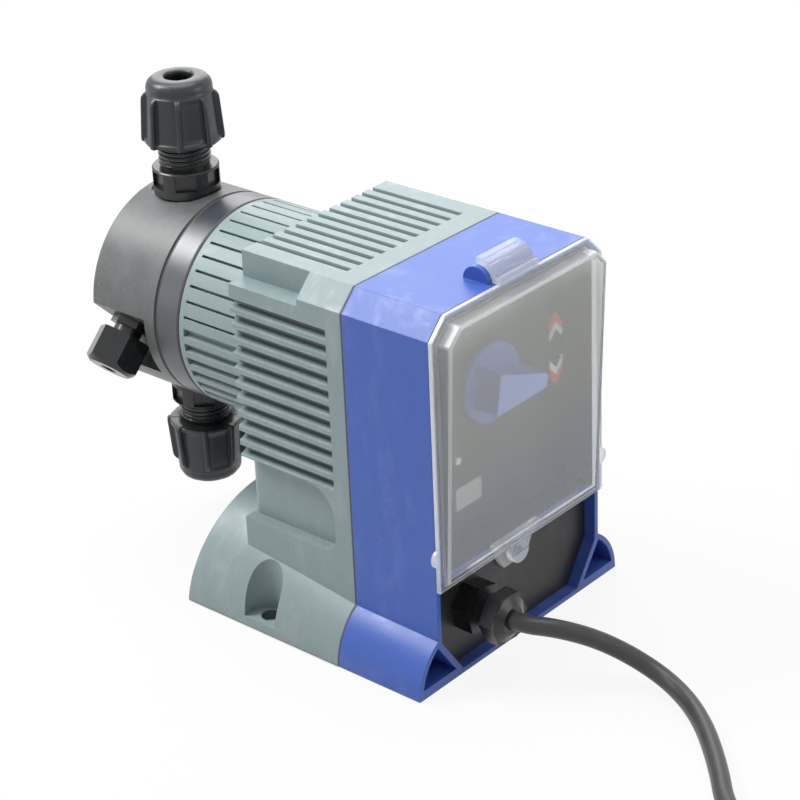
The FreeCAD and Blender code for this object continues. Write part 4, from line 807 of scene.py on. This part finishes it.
def shellShadeAndMarks(paint):
    # painted shade in the grooves, the barrel's slots and the foot holes, a real round moulding mark and a
    # dark line round the foot, and painted highlights along the grooves' edges
    sides, roof, barrel = (shellSettings[key] for key in ("sides", "roof", "barrel"))
    bolt, mark = (shellSettings[key] for key in ("bolt", "mark"))
    x, y, z = paint.millimetres()
    beside = z.fromGroove(sides["first"], sides["pitch"])
    flank = z.between(sides["low"], sides["high"], 0.5) * y.between(sides["front"], sides["back"], 0.3)
    deep = (sides["face"] - x).ramp(0.0, 2.2) * x.past(sides["floor"], 0.3)
    # painted shade deep in the side grooves
    dark = flank * deep * (1 - beside.ramp(sides["half"], sides["half"] + 0.3))
    # a painted highlight along the side grooves' edges
    edge = flank * x.past(sides["face"], 0.2)
    edge = edge * (1 - abs(beside - sides["half"]).ramp(0.2, 0.7))
    over = x.fromGroove(0.0, roof["pitch"])
    upper = (1 - x.past(roof["reach"], 0.3)) * y.between(roof["front"], roof["back"], 0.3)
    deep = (roof["face"] - z).ramp(0.0, 2.0) * z.past(roof["floor"], 0.2)
    # painted shade in the roof grooves
    dark = dark.most(upper * deep * (1 - over.ramp(roof["half"], roof["half"] + 0.3)))
    # a painted highlight along the lips of the roof grooves
    lip = upper * z.ramp(roof["face"] - 0.1, roof["face"] + 0.2)
    edge = edge.most(lip * (1 - abs(over - roof["half"]).ramp(0.15, 0.55)))
    high = z - barrel["axis"]
    reach = (x * x + high * high).root()
    # painted shade in the barrel's slots, stronger on the underside
    deep = (barrel["face"] - reach).ramp(0.0, 1.4) * reach.past(barrel["floor"], 0.2)
    shade = 0.5 - 0.2 * high.ramp(-10.0, 10.0)          # darker on the underside
    dark = dark.most(y.between(barrel["front"], barrel["back"], 0.2) * deep * shade)
    # painted shade inside the foot holes
    hole = 1 - fromSpot(x, y, bolt["spot"]).past(bolt["radius"], 0.1)
    dark = dark.most(hole * 1.3)
    # a round moulding mark on each stepped corner
    ring = fromSpot(x, y, mark["spot"]).between(mark["inner"], mark["outer"], 0.15)
    dark = dark.most(ring * z.between(mark["low"], mark["high"], 0.1) * 0.4)
    # the parting line round the foot, darkened further as a painted contact shadow
    dark = dark.most((1 - z.ramp(*shellSettings["partingAndContactShadow"])) * 0.6)
    # the painted highlights come in patches
    return dark, edge * paint.noise(7 * mm, 3.0).ramp(0.3, 0.6)


def insideOutline(x, z):
    # how far in from the cover's sides, top and cut corners, and from the corners alone
    c = coverSettings
    corner = (c["half"] + c["top"] - c["cut"] - x - z) * math.sqrt(0.5)
    return (c["half"] - x).least(c["top"] - z).least(corner), corner


def recessShadeAndPaleEdge(paint):
    # painted shade darkens the recess behind the cover, and the front edge outside it is paler in patches
    c = coverSettings
    x, y, z = paint.millimetres()
    inside = insideOutline(x, z)[0].past(c["recessDepth"], 0.1)
    # painted shade in the recess
    shaded = inside * z.past(c["recessFoot"], 0.1) * y.past(c["recessBack"], 0.1) * 1.33
    edge = 1 - abs(y - c["frontEdge"]).ramp(0.2, 0.7)
    return shaded, edge * (1 - inside) * paint.noise(8 * mm, 3.0).ramp(0.4, 0.6)


def coverHighlights(paint):
    # painted highlights on the clear cover: milky white along its rims, corners and walls and in ridge lines
    # on the hinge clip, thin in its face
    c = coverSettings
    rimWide = c["rim"]
    x, y, z = paint.millimetres()
    inside, corner = insideOutline(x, z)
    inside = inside.least(z - c["foot"])
    (lowZ, lowY), (highZ, highY) = c["frontLow"], c["frontHigh"]
    front = 1 - (y - (z - lowZ) * ((highY - lowY) / (highZ - lowZ)) - lowY).ramp(0.9, 1.5)
    rim = 1 - inside.ramp(0.4, 0.9)
    edge = front * inside.between(rimWide - 0.6, rimWide + 1.3, 0.25)
    seat = (1 - front) * inside.between(rimWide - 0.9, rimWide + 0.05, 0.2)
    wall = (1 - front) * inside.between(rimWide - 0.1, rimWide + c["wall"] + 0.4, 0.1)
    facet = wall * (1 - corner.ramp(rimWide + 0.8, rimWide + 1.2))
    streak = paint.noise(3 * mm, 3.0, 0.6, (1, 1, 0.08)).ramp(0.35, 0.65)
    flute = paint.noise(1.6 * mm, 2.0, 0.5, (0.05, 1, 1)).ramp(0.5, 0.62)
    # painted highlights along the rims, the front edges, the seat and walls seen edge on, the corner facet
    # and the clip's ridges
    highlights = (rim * 0.5).most(edge * 0.72).most(seat * 0.4).most(wall * (0.01 + 0.2 * streak))
    return highlights.most(facet * 0.5).most(z.ramp(*c["clip"]) * (0.01 + 0.5 * flute))


clearSettings = {
    "ior": 1.49,
    "body": (0.98, 0.985, 0.985),
    "coolMilk": (0.74, 0.82, 0.98), "warmMilk": (0.9, 0.93, 0.84), "highlightMilk": (0.9, 0.91, 0.93),
    "drift": (70 * mm, 135 * mm),       # heights between which the milk turns from cool to warm
    "thicker": (60 * mm, 180 * mm),     # heights between which it grows a little stronger
    "behind": (0.86, 0.9, 0.92), "behindShare": 0.35,
    "straight": (0.93, 0.94, 0.94), "clipShare": 0.85,
    "dust": 14 * mm, "scratch": 16 * mm, "scratchWidth": 0.004,
}


def clearPlastic(name, highlights=None, thin=0.115):
    # clear moulded plastic, a little dusty, with fine scratches and a faint drift of colour; light
    # on its way to what lies behind passes straight through it
    c = clearSettings
    paint = Paint(name)
    dust = paint.noise(c["dust"], 5.0, 0.65)
    scratch = paint.hairlines(c["scratch"], c["scratchWidth"], (1, 1, 5))
    paint.finish(c["body"], 0.03 + 0.05 * dust + 0.1 * scratch, IOR=c["ior"], Transmission_Weight=1.0)
    drift = (paint.z.ramp(*c["drift"]) + paint.noise(70 * mm, 2.0) - 0.5).ramp(0.0, 1.0)
    milk = drift.blend(c["coolMilk"], c["warmMilk"])
    share = thin + 0.07 * dust + 0.05 * scratch + 0.08 * paint.z.ramp(*c["thicker"])
    # the highlights are painted as milky white film along the cover's edges
    if highlights:
        highlight = highlights(paint)
        milk = highlight.ramp(0.1, 0.3).blend(milk, c["highlightMilk"])
        share = share.most(highlight)
    matt = {"Base Color": milk, "Roughness": 1.0, "Specular IOR Level": 0.0}
    near = paint.node("ShaderNodeBsdfPrincipled", {}, matt)
    far = paint.node("ShaderNodeBsdfTranslucent", {}, {"Color": c["behind"]})
    film = paint.node("ShaderNodeMixShader", {}, {0: c["behindShare"], 1: near, 2: far})
    body = paint.node("ShaderNodeMixShader", {}, {0: share, 1: paint.surface(), 2: film})
    through = paint.node("ShaderNodeBsdfTransparent", {}, {"Color": c["straight"]})
    # the thin hinge clip over the housing is looked straight through as well
    path = paint.tree.nodes.new("ShaderNodeLightPath")
    clip = (paint.z / mm).ramp(*coverSettings["clip"]) * c["clipShare"]
    straight = Wire(paint.tree, path.outputs["Is Shadow Ray"]).most(clip) * (1 - share)
    return paint.show(paint.node("ShaderNodeMixShader", {}, {0: straight, 1: body, 2: through}))


panelSettings = {"colour": screenColour(30, 30, 33), "cloud": 30 * mm, "dark": 0.8, "pale": 1.25,
                 "grain": 0.5 * mm, "depth": 0.03}


def panelPaint(name, settings):
    # a plain black front plate with a satin film
    p = settings
    paint = Paint(name)
    cloud = paint.noise(p["cloud"], 3.0)
    tone = cloud.shades(p["colour"], p["dark"], p["pale"])
    return paint.finish(tone, 0.38 + 0.1 * cloud, paint.noise(p["grain"], 2.0), p["depth"])


# the pointer's front face takes a paler blue, a painted highlight
knobSettings = {"colour": screenColour(80, 102, 196), "rubbedAndLit": screenColour(138, 160, 226), "share": 0.85,
                "front": (-97.3 * mm, -96.9 * mm), "cloud": 12 * mm, "dark": 0.75, "pale": 1.1,
                "grain": 0.6 * mm, "depth": 0.02}


def knobPaint(name, settings):
    # blue plastic whose pointer's front face is painted paler, a painted highlight where the light falls
    k = settings
    paint = Paint(name)
    front = (1 - paint.y.ramp(*k["front"])) * k["share"]
    cloud = paint.noise(k["cloud"], 3.0)
    tone = front.blend(cloud.shades(k["colour"], k["dark"], k["pale"]), k["rubbedAndLit"])
    return paint.finish(tone, 0.32 + 0.12 * cloud, paint.noise(k["grain"], 2.0), k["depth"])


keySettings = {
    # in mm; the foot is the arrow's end next to the other key
    "middle": 49.0, "half": 4.9, "upFoot": 128.7, "downFoot": 119.4,
    "shoulder": 8.3, "crown": 5.7, "notch": 5.0, "band": 3.9,
    "black": (0.018, 0.018, 0.02), "pale": (0.88, 0.88, 0.85), "red": (0.78, 0.03, 0.02),
    "grain": 0.6 * mm, "depth": 0.02,
}


def keyPaint(name, settings, foot, way):
    # a printed arrow on a black key: a round-topped red tab over a white chevron, whose way is 1 up
    k = settings
    paint = Paint(name)
    across = abs(paint.x / mm - k["middle"]) / k["half"]
    up = (paint.z / mm - foot) * way
    over = (up - k["shoulder"]).most(0.0) / k["crown"]
    chevron = (1 - across) * k["notch"]
    printed = (1 - (across * across + over * over).ramp(0.94, 1.02)) * (up - chevron).ramp(-0.1, 0.15)
    ink = (up - chevron - k["band"]).ramp(-0.1, 0.1).blend(k["pale"], k["red"])
    tone = printed.blend(k["black"], ink)
    return paint.finish(tone, 0.3 + 0.1 * paint.noise(4 * mm), paint.noise(k["grain"], 2.0), k["depth"])


lampSettings = {"dark": ((0.05, 0.006, 0.005), (0.09, 0.012, 0.01)), "pale": (0.75, 0.77, 0.74),
                "split": (88 * mm, 89 * mm), "grain": 0.4 * mm, "depth": 0.02}


def lampPaint(name, settings):
    # two small lenses: the upper one pale, the lower one a dark red
    lens = settings
    paint = Paint(name)
    tone = paint.noise(1.5 * mm, 2.0).blend(*lens["dark"])
    tone = paint.z.ramp(*lens["split"]).blend(tone, lens["pale"])
    return paint.finish(tone, 0.15 + 0.1 * paint.noise(2 * mm), paint.noise(lens["grain"]), lens["depth"])


displaySettings = {"glass": (0.4, 0.43, 0.38), "segments": (0.3, 0.33, 0.29), "share": 0.5,
                   "cellWide": 4.2 * mm, "cellHigh": 2.6 * mm, "grain": 1.0 * mm, "depth": 0.01}


def displayPaint(name, settings):
    # a reflective display that is off: faint segments show
    d = settings
    paint = Paint(name)
    cell = abs((paint.x / d["cellWide"]) % 1.0 - 0.5).ramp(0.3, 0.34)
    line = abs((paint.z / d["cellHigh"]) % 1.0 - 0.5).ramp(0.38, 0.42)
    tone = (cell.most(line) * d["share"]).blend(d["glass"], d["segments"])
    return paint.finish(tone, 0.12 + 0.08 * paint.noise(5 * mm), paint.noise(d["grain"]), d["depth"])


# Which part has which finish

materials = {
    "rear_housing": mouldedPlastic("grey_shell", screenColour(136, 154, 156), 0.4, dusty=0.35,
                                   stain=(0.42, 0.47, 0.47), shadeAndMarks=shellShadeAndMarks),
    "front_housing": mouldedPlastic("blue_shell", screenColour(61, 95, 181), 0.34, 0.07, dusty=0.1,
                                    stain=(0.12, 0.19, 0.56), shadeAndMarks=recessShadeAndPaleEdge, shadeColour=(0.03, 0.031, 0.034)),
    "housing_gasket": rubber("gasket", (0.06, 0.07, 0.085)),
    "control_panel": panelPaint("panel_print", panelSettings),
    "display_window": displayPaint("display_glass", displaySettings),
    "status_lamps": lampPaint("lamp_red", lampSettings),
    "up_key": keyPaint("up_key_print", keySettings, keySettings["upFoot"], 1),
    "down_key": keyPaint("down_key_print", keySettings, keySettings["downFoot"], -1),
    "stroke_knob": knobPaint("knob_plastic", knobSettings),
    "terminal_panel": mouldedPlastic("terminal_black", screenColour(26, 26, 28), 0.4),
    "lid": clearPlastic("clear_cover", coverHighlights),
    "lid_screw": clearPlastic("clear_screw", thin=0.25),
    "adapter_ring": ringPaint("ring_plastic", ringSettings),
    "pump_head": headPaint("head_plastic", headSettings),
    "delivery_nut": glossPlastic("nut_plastic", screenColour(40, 44, 47), 0.27),
    "delivery_valve_body": glossPlastic("valve_plastic", screenColour(36, 38, 40), 0.2),
    "bleed_knob": glossPlastic("bleed_plastic", screenColour(25, 27, 29), 0.14),
    "gland_body": glossPlastic("gland_plastic", screenColour(20, 20, 21), 0.22),
    "steel": metal("bright_steel", (0.56, 0.56, 0.57)),
    "iron": metal("turned_iron", (0.24, 0.24, 0.25), 0.42),
    "copper": metal("wound_copper", (0.62, 0.3, 0.16), 0.35, (1, 12, 1)),
    "bronze": metal("bush_bronze", (0.5, 0.36, 0.18), 0.35),
    "brass": metal("pin_brass", (0.68, 0.6, 0.42), 0.25),
    "ceramic": glossPlastic("valve_ceramic", (0.78, 0.76, 0.7), 0.15),
    "membrane": rubber("membrane_rubber", (0.03, 0.03, 0.032)),
    "cord": rubber("cord_sheath", screenColour(60, 60, 62), 0.3),
    "plug": mouldedPlastic("plug_plastic", screenColour(34, 34, 36), 0.5),
    "board": glossPlastic("board_green", (0.02, 0.13, 0.05), 0.4),
    "module": mouldedPlastic("module_case", (0.02, 0.02, 0.021), 0.55),
    "tie": glossPlastic("tie_nylon", (0.02, 0.02, 0.02), 0.4),
}

# the parts that take another's finish, or one that has no part of its name
shared = {
    "steel": ["housing_screws", "board_standoffs", "stroke_spindle", "drive_shaft", "return_spring",
              "head_screws", "diaphragm_retainer"],
    "iron": ["spindle_bridge", "armature", "solenoid_yoke", "yoke_end_plate"],
    "copper": ["solenoid_coil"],
    "bronze": ["shaft_bush"],
    "ceramic": ["delivery_seat", "delivery_ball", "suction_seat", "suction_ball"],
    "housing_gasket": ["delivery_seal", "suction_seal", "gland_seal"],
    "delivery_nut": ["suction_nut"],
    "delivery_valve_body": ["suction_valve_body", "bleed_valve_body", "delivery_ferrule", "suction_ferrule"],
    "gland_body": ["gland_nut", "gland_locknut"],
    "membrane": ["diaphragm"],
    "board": ["circuit_board"],
    "module": ["power_module"],
    "plug": ["plug_body"],
    "brass": ["plug_pins"],
    "cord": ["power_cord", "cord_coil", "cord_tail"],
}


def paintAll():
    finishes = {name: materials[key] for key, names in shared.items() for name in names}
    for name, piece in nodes.items():
        material = finishes.get(name) or materials[name]
        if not piece.material_slots:
            piece.data.materials.append(material)
        for place in piece.material_slots:
            place.material = material
    ownPieces = [(cord, "cord"), (tie, "tie")]
    ownPieces += [(nut, "delivery_nut") for nut in nuts]
    ownPieces += [(thread, "delivery_valve_body") for thread in threads]
    for piece, key in ownPieces:
        piece.data.materials.append(materials[key])


paintAll()
print("materials made")
